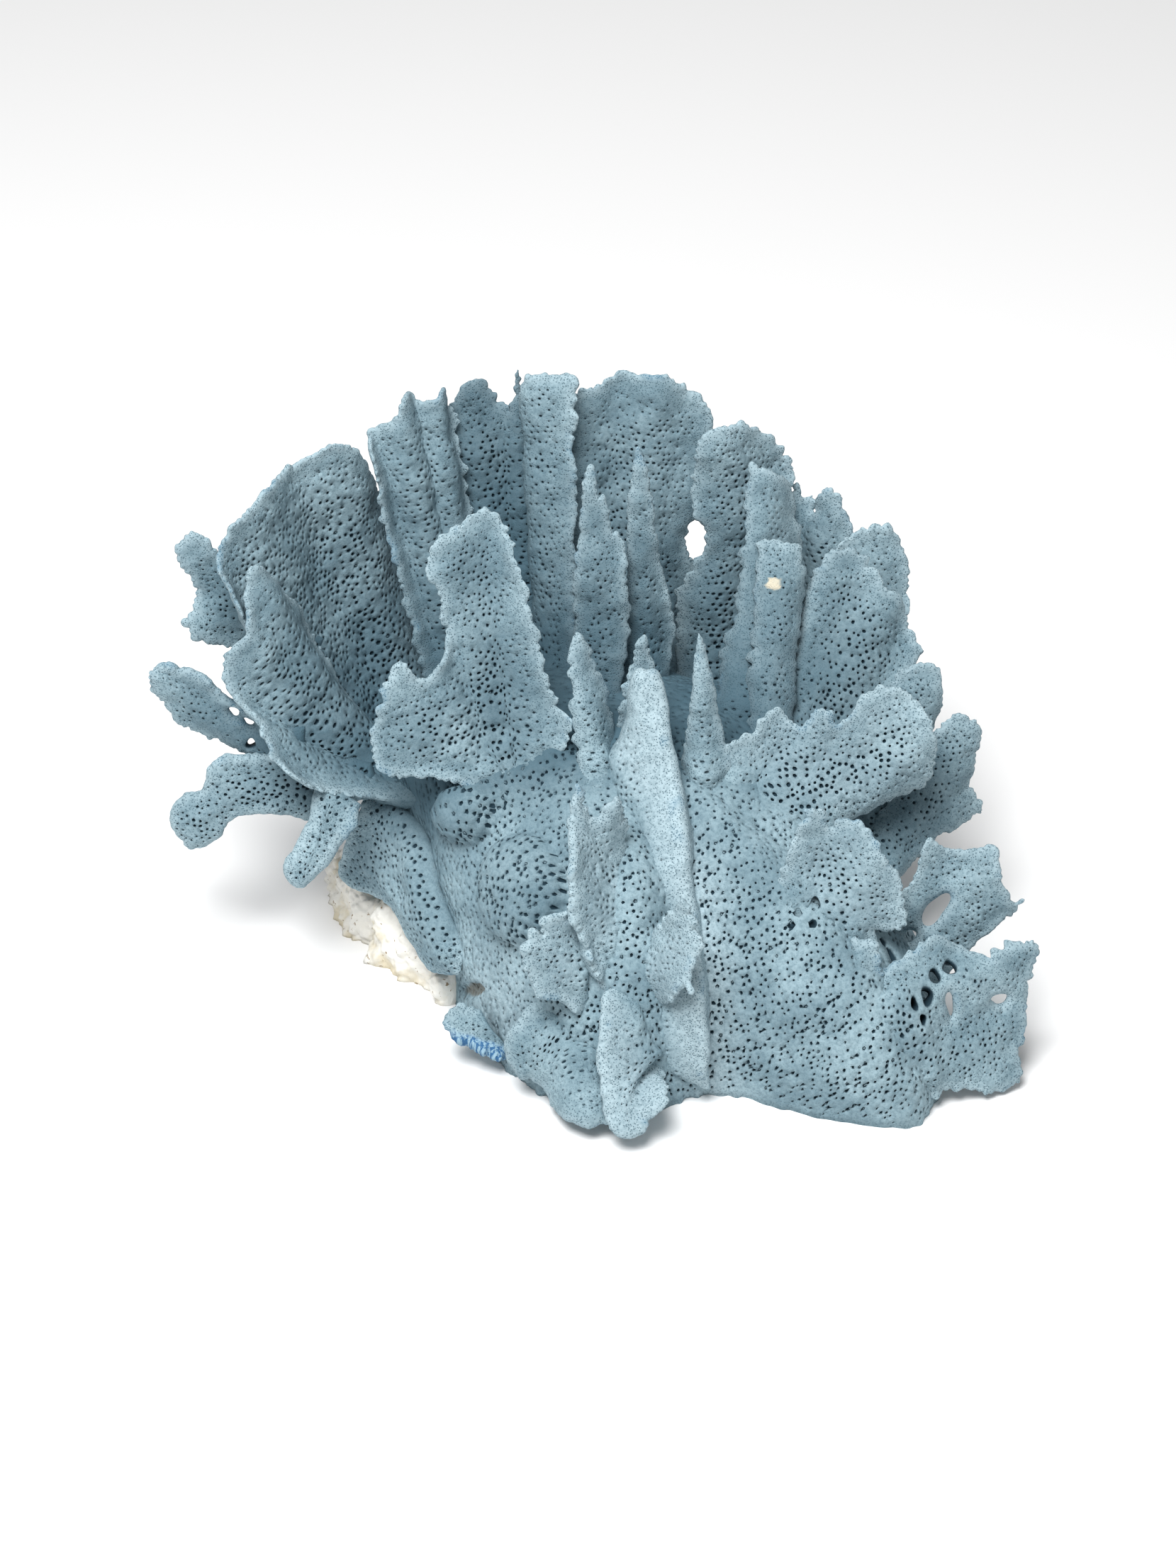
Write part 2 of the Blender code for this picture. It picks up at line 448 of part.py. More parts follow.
def solid(name, points, faces):
    """An object from points in millimetres and faces, with its faces turned outwards."""
    mesh = bpy.data.meshes.new(name)
    mesh.from_pydata([tuple(p * MM) for p in points], [], faces)
    work = bmesh.new()
    work.from_mesh(mesh)
    bmesh.ops.triangulate(work, faces=work.faces)
    bmesh.ops.recalc_face_normals(work, faces=work.faces)
    work.to_mesh(mesh)
    work.free()
    body = bpy.data.objects.new(name, mesh)
    bpy.context.collection.objects.link(body)
    return body


def grown_copy(body):
    """A hidden copy whose surface stands a gap outside the body's."""
    mesh = body.data.copy()
    work = bmesh.new()
    work.from_mesh(mesh)
    work.normal_update()
    moves = [v.normal * v.calc_shell_factor() * GAP * MM for v in work.verts]
    for vertex, move in zip(work.verts, moves):
        vertex.co += move
    work.to_mesh(mesh)
    work.free()
    cutter = bpy.data.objects.new(body.name + "_cutter", mesh)
    bpy.context.collection.objects.link(cutter)
    cutter.hide_render = True
    cutter.display_type = "WIRE"
    return cutter


def islands(work):
    """The separate shells of a mesh, each as a list of faces."""
    left = set(work.faces)
    found = []
    while left:
        queue = [left.pop()]
        shell = []
        while queue:
            face = queue.pop()
            shell.append(face)
            for edge in face.edges:
                for other in edge.link_faces:
                    if other in left:
                        left.discard(other)
                        queue.append(other)
        found.append(shell)
    return found


def volume_of(shell):
    """Six times the volume that a closed shell of triangles holds."""
    total = 0.0
    for face in shell:
        a, b, c = (v.co for v in face.verts)
        total += a.dot(b.cross(c))
    return abs(total)


def difference(body, cutters, solver):
    """The mesh that is left of the body when the cutters are taken out of it."""
    body.modifiers.clear()
    for cutter in cutters:
        cut = body.modifiers.new(cutter.name, "BOOLEAN")
        cut.operation = "DIFFERENCE"
        cut.solver = solver
        cut.object = cutter
        if solver == "EXACT":
            cut.use_self = True
    evaluated = body.evaluated_get(bpy.context.evaluated_depsgraph_get())
    return bpy.data.meshes.new_from_object(evaluated)


def cut_away(body, cutters):
    """Take the cutters out of the body, keep its largest piece, and clear its short edges."""
    mesh = difference(body, cutters, "EXACT")
    work = bmesh.new()
    work.from_mesh(mesh)
    if not all(edge.is_manifold for edge in work.edges):
        work.clear()
        mesh = difference(body, cutters, "MANIFOLD")
        work.from_mesh(mesh)
    bmesh.ops.triangulate(work, faces=work.faces)
    shells = sorted(islands(work), key=volume_of)
    for shell in shells[:-1]:
        bmesh.ops.delete(work, geom=shell, context="FACES")
    loose = [v for v in work.verts if not v.link_faces]
    bmesh.ops.delete(work, geom=loose, context="VERTS")
    for merge in MERGES:
        merged = work.copy()
        bmesh.ops.remove_doubles(merged, verts=merged.verts, dist=merge * MM)
        bmesh.ops.dissolve_degenerate(merged, edges=merged.edges, dist=merge * MM / 3)
        bmesh.ops.triangulate(merged, faces=merged.faces)
        merged.to_mesh(mesh)
        closed = all(edge.is_manifold for edge in merged.edges)
        merged.free()
        if closed:
            break
    work.free()
    body.modifiers.clear()
    body.data = mesh


def reach_of(body):
    """Lowest and highest corner of a body's points."""
    corners = np.array([v.co for v in body.data.vertices])
    return corners.min(axis=0), corners.max(axis=0)


def near(body, cutter):
    """Whether the boxes of two bodies meet."""
    low_a, high_a = reach_of(body)
    low_b, high_b = reach_of(cutter)
    return bool(np.all(low_a < high_b) and np.all(low_b < high_a))


def add_piece(name, points, faces, material, cutters):
    """Make one piece, cut its neighbours' room out of it, and keep its own room as a cutter."""
    body = solid(name, points, faces)
    cutter = grown_copy(body)
    cut_away(body, [other for other in cutters if near(body, other)])
    body.data.materials.clear()
    body.data.materials.append(material)
    cutters.append(cutter)
    return body


def build():
    """Model the foot, the crust and every plate, each cut clear of those made before it."""
    start_empty()
    cutters = []
    add_piece("foot_mound", *foot_mesh(), finish_of("foot_blue", SLATE_BLUE, 0.72), cutters)
    add_piece("white_crust", *crust_mesh(), finish_of("crust_white", CHALK_WHITE, 0.9), cutters)
    add_piece("broken_edge", *plate_mesh(BROKEN_EDGE), finish_of("broken_blue", VIVID_BLUE, 0.7), cutters)
    for name, plate in PLATES.items():
        material = finish_of(name + "_blue", LIGHT_BLUE, 0.7)
        add_piece(name, *plate_mesh(plate), material, cutters)
    for cutter in cutters:
        bpy.data.objects.remove(cutter, do_unlink=True)


build()
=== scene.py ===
# %% [markdown]
# # Blue ridge coral skeleton
# One dried colony of blue coral: thin ridged plates and fingers fan out of a low foot, all of it
# pitted with the small round pores that the polyps lived in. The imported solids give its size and
# where every plate stands. This script grows the same plates again as fine pored surfaces.

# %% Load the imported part
import math

import bpy
import numpy as np
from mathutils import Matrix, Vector
from mathutils.geometry import delaunay_2d_cdt


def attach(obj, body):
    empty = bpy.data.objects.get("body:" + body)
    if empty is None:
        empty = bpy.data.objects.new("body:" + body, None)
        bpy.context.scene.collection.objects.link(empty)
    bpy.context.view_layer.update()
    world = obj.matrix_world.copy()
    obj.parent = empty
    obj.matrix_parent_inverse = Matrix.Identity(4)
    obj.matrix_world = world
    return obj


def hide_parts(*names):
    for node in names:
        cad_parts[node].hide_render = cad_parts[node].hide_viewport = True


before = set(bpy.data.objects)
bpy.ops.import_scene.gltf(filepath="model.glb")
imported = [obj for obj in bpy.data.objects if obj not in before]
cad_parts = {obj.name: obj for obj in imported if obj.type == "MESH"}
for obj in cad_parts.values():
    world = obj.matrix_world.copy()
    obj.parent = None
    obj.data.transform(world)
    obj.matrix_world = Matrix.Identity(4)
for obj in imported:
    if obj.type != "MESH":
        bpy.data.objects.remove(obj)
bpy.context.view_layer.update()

print("solids loaded:", len(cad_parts))

# %% [markdown]
# ## Where things are seen
# A plate's edge is easiest to give as it is seen from the front: how far across, how far up and
# how deep. It could also be typed as plain x, y, z, but then its outline is hard to judge by eye.
# These helpers turn one into the other, and a Catmull-Rom curve rounds off the corner points.

# %% Lines of sight and smooth curves
MM = 0.001
VIEW_TILT = math.radians(35)
VIEW_REACH = 1200.0
MIDDLE_HEIGHT = 62.3
GROUND_CLEAR = 0.4
AHEAD = np.array([0.0, math.cos(VIEW_TILT), -math.sin(VIEW_TILT)])
UPWARD = np.array([0.0, math.sin(VIEW_TILT), math.cos(VIEW_TILT)])
EYE = np.array([0.0, 0.0, MIDDLE_HEIGHT]) - VIEW_REACH * AHEAD


def seen_points(spots):
    """Rows of (across, up, depth) as points in space, where the line of sight has that depth."""
    across, up, depth = np.asarray(spots, float).T
    on_view = EYE + VIEW_REACH * AHEAD + up[:, None] * UPWARD
    on_view[:, 0] = across
    share = (depth - EYE[1]) / (on_view[:, 1] - EYE[1])
    points = EYE + share[:, None] * (on_view - EYE)
    points[:, 2] = np.maximum(points[:, 2], GROUND_CLEAR)
    return points


def seen_from_front(points):
    """The (across, up) at which points in space are seen from the front."""
    arm = points - EYE
    nearer = VIEW_REACH / (arm @ AHEAD)
    return np.stack([arm[..., 0] * nearer, (arm @ UPWARD) * nearer], axis=-1)


def smooth_line(points, along):
    """Catmull-Rom curve through points, at places that run from 0 to 1 along it."""
    points = np.asarray(points, float)
    ends = np.vstack([2 * points[0] - points[1], points, 2 * points[-1] - points[-2]])
    place = np.asarray(along) * (len(points) - 1)
    first = np.clip(np.floor(place).astype(int), 0, len(points) - 2)
    f = (place - first)[..., None]
    a, b, c, d = ends[first], ends[first + 1], ends[first + 2], ends[first + 3]
    square, cube = 2 * a - 5 * b + 4 * c - d, 3 * b - a - 3 * c + d
    return 0.5 * (2 * b + (c - a) * f + square * f**2 + cube * f**3)


CORNER_PRIMES = np.array([73856093, 19349663, 83492791])
SEED_PRIME = 7919
MIXING_PRIME = 1274126177


def soft_noise(points, size, seed=0):
    """Smooth noise from -1 to 1: a random value in each corner of a grid, blended in between."""
    place = np.asarray(points) / size
    cell = np.floor(place).astype(np.int64)
    f = place - cell
    f = f * f * (3 - 2 * f)
    total = np.zeros(place.shape[:-1])
    for corner in np.ndindex(*(2,) * place.shape[-1]):
        at = cell + np.array(corner)
        mixed = (at * CORNER_PRIMES[:place.shape[-1]]).sum(axis=-1)
        mixed = (mixed + seed * SEED_PRIME) * MIXING_PRIME
        value = ((mixed ^ (mixed >> 15)) & 65535) / 32767.5 - 1
        total += value * np.prod(np.where(corner, f, 1 - f), axis=-1)
    return total


def layered(points, layers):
    """Noise of several sizes added up. Each layer is its height, its size and its seed."""
    return sum(height * soft_noise(points, size, seed) for height, size, seed in layers)


def unit(vectors):
    """Vectors divided by their lengths."""
    return vectors / np.maximum(np.linalg.norm(vectors, axis=-1, keepdims=True), 1e-9)


def ramp(value, low, high):
    """0 below low, 1 above high, and a smooth step in between."""
    t = np.clip((value - low) / (high - low), 0, 1)
    return t * t * (3 - 2 * t)


# %% [markdown]
# ## The plates and fingers
# Each plate leaves the foot along its root, a line of x, y, z points in millimetres, and ends in
# its rim, a line of (across, up, depth) points. The sheet between them is a quadratic curve in
# each column, pushed out by bow. thick is the thickness at root and rim, and folds the number and
# depth of its upright folds. The solids are made from values of the same kind, but five of them
# have plainer rims. What a plate doesn't say is taken from USUAL:
#
# - teeth: how ragged the rim is, where 0 is smooth
# - bare and ripen: how far from the rim the pores begin, and how far on they are full
# - pale and deep: how much painted light lightens the plate, and how much painted shade darkens it
# - blunt: how wide the rim's rounding is, as a share of the thickness
# - holes and bores: openings, as (across, up, width, height). A bore's walls get painted shade.
# - crumb: a cream crumb of lime on the front, as (across, up, radius)

# %% Root, rim and thickness of every plate
USUAL = dict(
    bow=(0, 0, 0), folds=(0, 0), teeth=1.0, bare=1.5, ripen=13, painted_light=0.0, deep=0.0, blunt=0.6,
    holes=(), bores=(), crumb=None)
PLATES = {
    "central_ridge": dict(
        root=[(9, 4, 62), (12, -14, 52), (16, -34, 34), (20, -50, 18), (23, -56, 4)],
        rim=[(11.6, 14, 0), (13, 31, -2), (16, 32, -4), (19.8, 31, -6), (22, 18, -12),
             (24.8, 0.6, -22), (27, -14, -34), (29, -32, -44), (31, -50, -56), (32, -64, -64),
             (33, -78, -68), (34, -86, -67)],
        bow=(1, 0, 0), thick=(26, 11), teeth=0.1, bare=4.5, painted_light=1.0),
    "left_fan": dict(
        root=[(-48, 16, 42), (-53, 27, 38), (-46, 40, 38), (-26, 46, 40)],
        rim=[(-94, 38, 18), (-101, 52, 22), (-103, 65, 27), (-98, 76, 35), (-88, 87, 48),
             (-79, 92, 56), (-69, 96, 64), (-60, 86, 70), (-52, 70, 72)],
        bow=(-9, 9, -14), thick=(9, 2.8), folds=(3, 1.6)),
    "left_front_lobe": dict(
        root=[(-46, 2, 56), (-50, 14, 48), (-46, 28, 42)],
        rim=[(-82, 2, -9), (-89.4, 6, -4), (-92.8, 12, 1), (-94, 20, 5), (-98.6, 24.4, 6),
             (-102.2, 29, 8), (-101.6, 37, 10), (-96, 44, 12), (-98.2, 51, 15), (-97, 58, 18),
             (-92.8, 62, 20), (-88, 58, 27), (-82, 51, 34), (-76, 42, 35)],
        bow=(-6, 3, -9), thick=(9, 3.4), folds=(2, 1.4)),
    "upper_left_finger": dict(
        root=[(-76, 42, 84), (-78, 36, 74), (-76, 30, 62)],
        rim=[(-100, 62, 42), (-105, 66.8, 43), (-108.6, 70, 44), (-112.6, 70.6, 44),
             (-116.6, 66.8, 44), (-116, 63.8, 43), (-112.6, 58, 42), (-110.8, 54, 41),
             (-110.8, 50.4, 40), (-114.4, 46.4, 38), (-112.6, 42.4, 37), (-108, 39.4, 36),
             (-100, 38, 35)],
        bow=(0, 3, 0), thick=(8, 4.4)),
    "middle_left_finger": dict(
        root=[(-80, 12, 74), (-80, 10, 66), (-80, 8, 58)],
        rim=[(-94, 21, 10), (-102.2, 24.4, 11), (-109.2, 30.2, 12), (-116, 33.4, 14),
             (-122, 33.6, 16), (-124.8, 30.8, 16), (-123, 26.6, 16), (-117.2, 18.6, 15),
             (-112.6, 15, 14), (-104.4, 11.6, 12), (-95.2, 7, 10)],
        bow=(0, 0, -2), thick=(9, 5),
        holes=[(-99.6, 21.0, 3.4, 3), (-95.4, 18, 2.2, 3.4)], bores=[(-95, 12, 3.2, 2.6)]),
    "lower_left_finger": dict(
        root=[(-62, 14, 60), (-60, 10, 56), (-60, 7, 52)],
        rim=[(-86, 9, 8), (-96.4, 8, 8), (-102.2, 8.2, 8), (-107.4, 4.6, 8), (-108.6, -1.2, 7),
             (-115, -3.4, 6), (-117.8, -10.4, 4), (-112.6, -18, 3), (-105, -16.2, 3),
             (-101, -10.4, 4), (-95.2, -8.8, 4), (-87, -8.8, 4), (-79, -10.4, 4)],
        bow=(0, 0, 4), thick=(9, 7), teeth=0.4, bare=-3.0),
    "hanging_left_finger": dict(
        root=[(-77, 2, 61), (-70, 0, 60), (-64, -3, 57)],
        rim=[(-78.6, -10, -8), (-82, -17, -11), (-85.5, -23, -13), (-84, -28, -14), (-80, -29, -14),
             (-74, -23, -13), (-70, -17, -11), (-65, -12, -9)],
        bow=(0, 0, 2), thick=(13, 10), teeth=0.3, bare=-4.0),
    "back_fan": dict(
        root=[(-6, 42, 44), (6, 48, 44), (16, 48, 44), (26, 44, 44)],
        rim=[(-7, 97, 74), (-6.4, 108, 77), (4.6, 114, 80), (9.8, 116, 82), (16.4, 116, 82),
             (22, 115, 80), (28.2, 112, 80), (35, 105, 80), (35, 95, 79), (34, 84, 77),
             (32, 77, 75), (28.4, 73, 74), (27.8, 68, 72), (29.4, 63, 70.5), (32, 57, 69)],
        bow=(0, 4, -6), thick=(9, 2.6), folds=(4, 1.6), ripen=30),
    "back_plate": dict(
        root=[(-26, 46, 40), (-18, 50, 40), (-8, 50, 40)],
        rim=[(-42, 96, 86), (-37, 111, 88), (-30.6, 114, 88), (-23, 107, 88), (-21.6, 106, 88),
             (-19.8, 117, 88), (-17, 106, 88), (-12, 98, 86)],
        bow=(0, 4, -6), thick=(9, 2.6), folds=(2, 1.2), deep=0.55),
    "ribbed_back_plate": dict(
        root=[(-42, 36, 42), (-33, 41, 44), (-25, 44, 44)],
        rim=[(-60, 80, 62), (-62, 98, 68), (-57.6, 102, 72), (-51, 110, 76), (-46, 108, 78),
             (-41, 111.6, 82), (-37, 104, 82)],
        bow=(2, 2, -8), thick=(9, 3), folds=(3, 3.4), ripen=22),
    "back_fin": dict(
        root=[(-14, 44, 56), (-9, 36, 58), (-4, 28, 60)],
        rim=[(-17.4, 106, 80), (-17, 115, 78), (-11, 115.6, 75), (-4.4, 113.4, 71), (-3, 99, 67)],
        bow=(0, 3, -4), thick=(9, 4), folds=(1, 1.5)),
    "back_right_plate": dict(
        root=[(25, 38, 46), (34, 42, 44), (45, 42, 40)],
        rim=[(25, 55, 58), (28.5, 61, 60), (32, 66, 61.5), (32, 73, 63), (29, 79, 64.5),
             (31.5, 97, 68), (38.4, 101.6, 71), (45, 101.6, 74), (51, 98, 76), (57.8, 91.6, 76),
             (58, 78, 72)],
        bow=(0, 3, -6), thick=(9, 2.8), folds=(2, 1.4)),
    "back_right_spikes": dict(
        root=[(46, 40, 38), (54, 38, 36), (61, 33, 34)],
        rim=[(55, 76, 76), (58.6, 85, 78), (61, 81, 78), (63.6, 81.6, 77), (64.2, 77, 76),
             (65.4, 83, 74), (70.4, 82, 72), (74.6, 70, 68), (73, 60, 64)],
        bow=(0, 3, -5), thick=(8, 2.8), folds=(2, 1.0)),
    "inner_spike": dict(
        root=[(10, 30, 70), (16, 32, 70), (22, 30, 68)],
        rim=[(10.6, 53, 40), (11, 77, 42), (13, 92, 44), (14, 95, 44), (16, 92, 44),
             (18.4, 80, 43), (20, 66, 42), (25, 44, 38)],
        bow=(0, 2, 0), thick=(9, 3.6), teeth=0.5),
    "stepped_inner_plate": dict(
        root=[(-4, 20, 70), (2, 22, 72), (8, 16, 72)],
        rim=[(-4, 56, 33), (-3.2, 66, 36), (-2, 76, 38), (-1.6, 84, 39), (0.4, 89.6, 40),
             (2.4, 88, 40), (2.8, 81, 39), (4.6, 81.4, 39), (6.4, 77, 38), (6.8, 70.6, 37),
             (8.6, 70.8, 37), (10.8, 66, 35), (11.4, 56, 33), (12, 44, 30)],
        bow=(0, 2, 0), thick=(8, 3.4), teeth=0.7),
    "right_plate": dict(
        root=[(30, 2, 64), (40, 4, 62), (50, 4, 57)],
        rim=[(38, 42, 38), (42, 60, 44), (44, 76, 50), (45, 88, 54), (47, 90, 54), (53.6, 87.4, 56),
             (58.6, 80, 56), (60, 68, 54)],
        bow=(0, 4, -6), thick=(9, 3), folds=(2, 1.2), ripen=26),
    "right_plate_lobe": dict(
        root=[(43, -6, 60), (49, -6, 58), (55, -7, 54)],
        rim=[(46, 44, 32), (47, 58, 38), (48.4, 68, 42), (52.6, 69, 42), (60, 66, 42),
             (61, 56, 40)],
        bow=(0, 2, -2), thick=(8, 4), crumb=(52.6, 56.4, 1.7)),
    "right_back_lobe": dict(
        root=[(60, 30, 36), (66, 24, 34), (70, 16, 32)],
        rim=[(68, 64, 60), (75.4, 71.4, 64), (83.8, 73.8, 64), (88.8, 68, 62), (90.6, 57.8, 58),
             (90, 48, 52)],
        bow=(0, 2, -5), thick=(8, 2.8), folds=(1, 1.0)),
    "right_fan": dict(
        root=[(44, -4, 58), (54, -5, 52), (65, -9, 44), (73, -14, 36)],
        rim=[(62, 58, 44), (68.6, 66, 46), (77, 66, 46), (83, 58, 44), (88.8, 51, 42), (91, 45, 40),
             (94, 37.6, 36), (90.6, 31, 32), (84, 22, 28)],
        bow=(0, 4, -9), thick=(9, 2.8), folds=(3, 1.4)),
    "far_right_upper_lobe": dict(
        root=[(72, 2, 44), (76, -2, 40), (78, -6, 34)],
        rim=[(87, 33, 24), (94, 34, 24), (99.4, 32, 24), (99.4, 25, 22), (98.4, 18, 20),
             (93, 6, 15)],
        bow=(0, 1, -4), thick=(8, 2.8), folds=(1, 0.8)),
    "far_right_lobe": dict(
        root=[(78, -2, 46), (82, -7, 41), (84, -12, 35)],
        rim=[(95, 13, 14), (103, 20, 18), (108, 18.6, 18), (110.6, 13, 17), (108.6, 4.4, 15),
             (107.6, 1, 14), (111.6, -5.6, 12), (110, -9, 12), (97, -14, 7)],
        bow=(0, 0, -3), thick=(8, 3), folds=(1, 1.0)),
    "front_right_fan": dict(
        root=[(24, -22, 60), (38, -22, 57), (54, -24, 51), (66, -28, 42)],
        rim=[(36, 6, -9), (38.2, 11.2, -8), (46, 15.2, -5), (49.2, 19, -4), (53.6, 20.8, -3),
             (59.2, 16.2, -4), (63.6, 20.8, -2), (68, 20.8, -2), (70.4, 18, -2), (74.8, 21.2, -1),
             (78, 25.6, 0), (83.6, 27.6, 0), (90.2, 25.6, 0), (94.6, 21.2, -1), (97.4, 14.6, -3),
             (98, 6.8, -4), (94.6, -0.8, -6), (88, -3.2, -8), (80.2, -6.4, -9), (73.6, -9.2, -11)],
        bow=(0, 3, -5), thick=(12, 2.8), folds=(3, 1.8), painted_light=0.3),
    "front_spike": dict(
        root=[(26, -17, 56), (32, -16, 56), (37, -17, 54)],
        rim=[(25, 0, -11), (27.6, 14, -7), (29.4, 28, -5), (30.2, 38, -4), (31.2, 42.6, -4),
             (33.4, 38, -4), (36, 26, -5), (38.2, 14, -8), (41, 6, -10)],
        thick=(7, 5), teeth=0.4),
    "ridge_top_lobe": dict(
        root=[(8, 0, 68), (13, 2, 70), (18, 0, 68)],
        rim=[(9, 24, 4), (12, 34, 8), (15, 41, 10), (16.4, 41.6, 10), (18, 36, 9), (20, 26, 7)],
        thick=(8, 3.4)),
    "ridge_left_lobe": dict(
        root=[(-5, -16, 64), (2, -16, 66), (8, -14, 64)],
        rim=[(-3, 4, -2), (-5, 26, 2), (-5.8, 36, 4), (-3.8, 42.8, 6), (-1, 40, 6), (2, 34, 5),
             (5, 26, 4), (8, 14, 1)],
        bow=(0, 0, -2), thick=(9, 3.4), folds=(1, 1.0)),
    "front_left_blade": dict(
        root=[(-20, -20, 54), (-24, -13, 56), (-23, -6, 60), (-16, -4, 65), (-8, -10, 65)],
        rim=[(-31, -4, -16), (-42.4, 0.6, -16), (-56, 1.4, -15), (-61, 7.4, -13), (-60, 18, -10),
             (-54.6, 35, -4), (-47, 30, -3), (-40, 37, 0), (-42, 52, 6), (-45.8, 61, 10),
             (-43, 69, 13), (-38, 73, 15), (-30, 77.2, 18), (-25.6, 76.4, 18), (-21, 68, 15),
             (-18.8, 58, 11), (-15, 46, 6), (-10, 28, 0), (-5, 16, -5)],
        bow=(-2, 3, -6), thick=(11, 3), folds=(4, 1.6)),
    "front_blade": dict(
        root=[(8, -56, 24), (8, -46, 38), (9, -34, 50), (12, -26, 56)],
        rim=[(2, -46, -61), (-4, -41, -59), (-6.2, -34, -56), (-5.4, -21, -50), (-5, -10, -44),
             (-3.4, -1, -40), (-0.6, -2, -40), (4, -9, -42), (9.4, -3, -37), (13, -8, -38)],
        bow=(-2, -4, 0), thick=(14, 5), folds=(1, 1.0), painted_light=0.4),
    "front_low_lobe": dict(
        root=[(0, -46, 42), (-1, -54, 33), (1, -60, 24)],
        rim=[(-5, -36, -55), (-9, -36.8, -56), (-12.4, -38.5, -57), (-11.8, -43.2, -58),
             (-14.6, -41, -58), (-17.4, -42, -58.5), (-19.2, -47, -60), (-18.8, -52.8, -62),
             (-15.8, -57.6, -63), (-14.6, -61, -65), (-6, -62, -66)],
        bow=(0, -2, 2), thick=(10, 4.4), folds=(1, 1.0), painted_light=0.4),
    "curled_ear": dict(
        root=[(17, -46, 44), (19, -52, 36), (20, -56, 26)],
        rim=[(22.8, -35.6, -59), (26.4, -33.2, -61), (29.4, -36, -62), (30.8, -41, -64),
             (31.6, -46, -66), (30.4, -52, -68), (29.2, -58.8, -71), (25.8, -58, -70)],
        bow=(-1, -4, 2), thick=(12, 4), painted_light=0.6),
    "front_left_foot": dict(
        root=[(-12, -50, 26), (-6, -54, 22), (0, -58, 17), (6, -60, 11)],
        rim=[(-19, -65, -58), (-23, -70, -60), (-23.4, -76, -61), (-20, -82, -62), (-13.4, -85, -65),
             (-9.6, -91, -72), (-6, -95, -79), (0, -97, -82), (6, -96, -81)],
        bow=(0, -3, 4), thick=(15, 9), folds=(2, 1.0), teeth=0.5),
    "front_foot": dict(
        root=[(10, -54, 34), (13, -58, 26), (17, -60, 16), (21, -60, 7)],
        rim=[(4.4, -60, -65), (5, -66, -69), (4, -76, -75), (4.6, -86, -80), (5, -95, -84.5),
             (8.6, -99.4, -87), (14, -99.4, -87), (19, -93, -84), (25, -84, -78)],
        bow=(-2, -2, 2), thick=(14, 8), folds=(1, 1.0), teeth=0.5, painted_light=0.6),
    "right_front_plate": dict(
        root=[(44, -42, 46), (56, -46, 38), (66, -50, 30), (72, -54, 22)],
        rim=[(53, -27, -42), (57, -18, -40), (60.5, -9, -38), (63.6, -6.4, -38), (66, -7.5, -38),
             (68.6, -12, -39), (72, -10.4, -39), (76.4, -10.4, -39), (80.2, -13, -40),
             (83.6, -19.2, -42), (88, -27.4, -44), (89.8, -36.4, -47), (88, -41.4, -49),
             (81.4, -43, -50)],
        bow=(0, 0, -4), thick=(12, 3), folds=(2, 1.4), painted_light=0.3,
        bores=[(64.4, -32.2, 3.6, 3.2), (62.8, -40.6, 2.6, 3)]),
    "right_front_lobe": dict(
        root=[(64, -52, 28), (66, -56, 20), (66, -60, 12)],
        rim=[(74, -43, -52), (80, -44, -53), (82.4, -48, -55), (83.4, -54, -57), (82, -59, -59),
             (76, -61, -60)],
        bow=(0, -2, 2), thick=(13, 5), painted_light=0.3),
    "right_holed_plate": dict(
        root=[(82, -36, 32), (88, -40, 26), (92, -44, 18)],
        rim=[(88, -31, -34), (92.4, -25.2, -31), (93.6, -19.8, -29), (96.4, -14.8, -28),
             (101.4, -18.6, -28), (106.8, -18.6, -28), (114.6, -17.6, -28), (116.4, -22, -29),
             (116.8, -27.4, -30), (119.6, -32.4, -31), (123.2, -32.8, -31), (121.2, -35.8, -32),
             (116.8, -38.6, -33), (110.2, -44.2, -36)],
        bow=(0, 0, -3), thick=(9, 3), folds=(2, 1.2), teeth=0.6,
        holes=[(98, -35.4, 5.4, 10), (91, -42.6, 3, 4)], bores=[(101.6, -49, 3.4, 3.4)]),
    "low_back_left_plate": dict(
        root=[(-56, 38, 12), (-46, 44, 16), (-34, 48, 16)],
        rim=[(-80, 20, 60), (-78, 32, 68), (-67, 39, 76), (-54, 38, 79), (-44, 28, 76)],
        bow=(0, 2, -6), thick=(9, 3), folds=(2, 1.4)),
    "low_back_middle_plate": dict(
        root=[(-24, 48, 14), (-10, 50, 18), (2, 50, 16)],
        rim=[(-32, 22, 80), (-24, 33, 86), (-10, 36, 90), (2, 31, 88), (8, 20, 80)],
        bow=(0, 2, -6), thick=(9, 3), folds=(2, 1.4)),
    "low_back_right_plate": dict(
        root=[(18, 48, 18), (31, 47, 20), (43, 44, 16)],
        rim=[(12, 30, 76), (20, 41, 84), (34, 42, 87), (46, 33, 80), (50, 22, 70)],
        bow=(0, 2, -6), thick=(9, 3), folds=(2, 1.4)),
    "low_right_back_plate": dict(
        root=[(56, 36, 18), (66, 30, 20), (74, 20, 16)],
        rim=[(58, 20, 62), (70, 29, 67), (84, 24, 58), (92, 10, 42), (90, 0, 30)],
        bow=(0, 2, -6), thick=(9, 3), folds=(2, 1.4)),
    "right_tip_plate": dict(
        root=[(72, -60, 36), (77, -64, 26), (81, -67, 14), (84, -68, 4)],
        rim=[(98, -42, -44), (109, -47.4, -43), (113.6, -46.4, -42), (121.2, -43.6, -41),
             (126.2, -44.6, -41), (125.2, -54, -45), (123.4, -59.6, -47), (124, -69.6, -52),
             (122.4, -76.2, -56), (123, -83, -60), (114.6, -87.4, -64), (108, -86.8, -66),
             (98, -88, -69)],
        bow=(0, -2, 0), thick=(12, 3.6), folds=(1, 1.2),
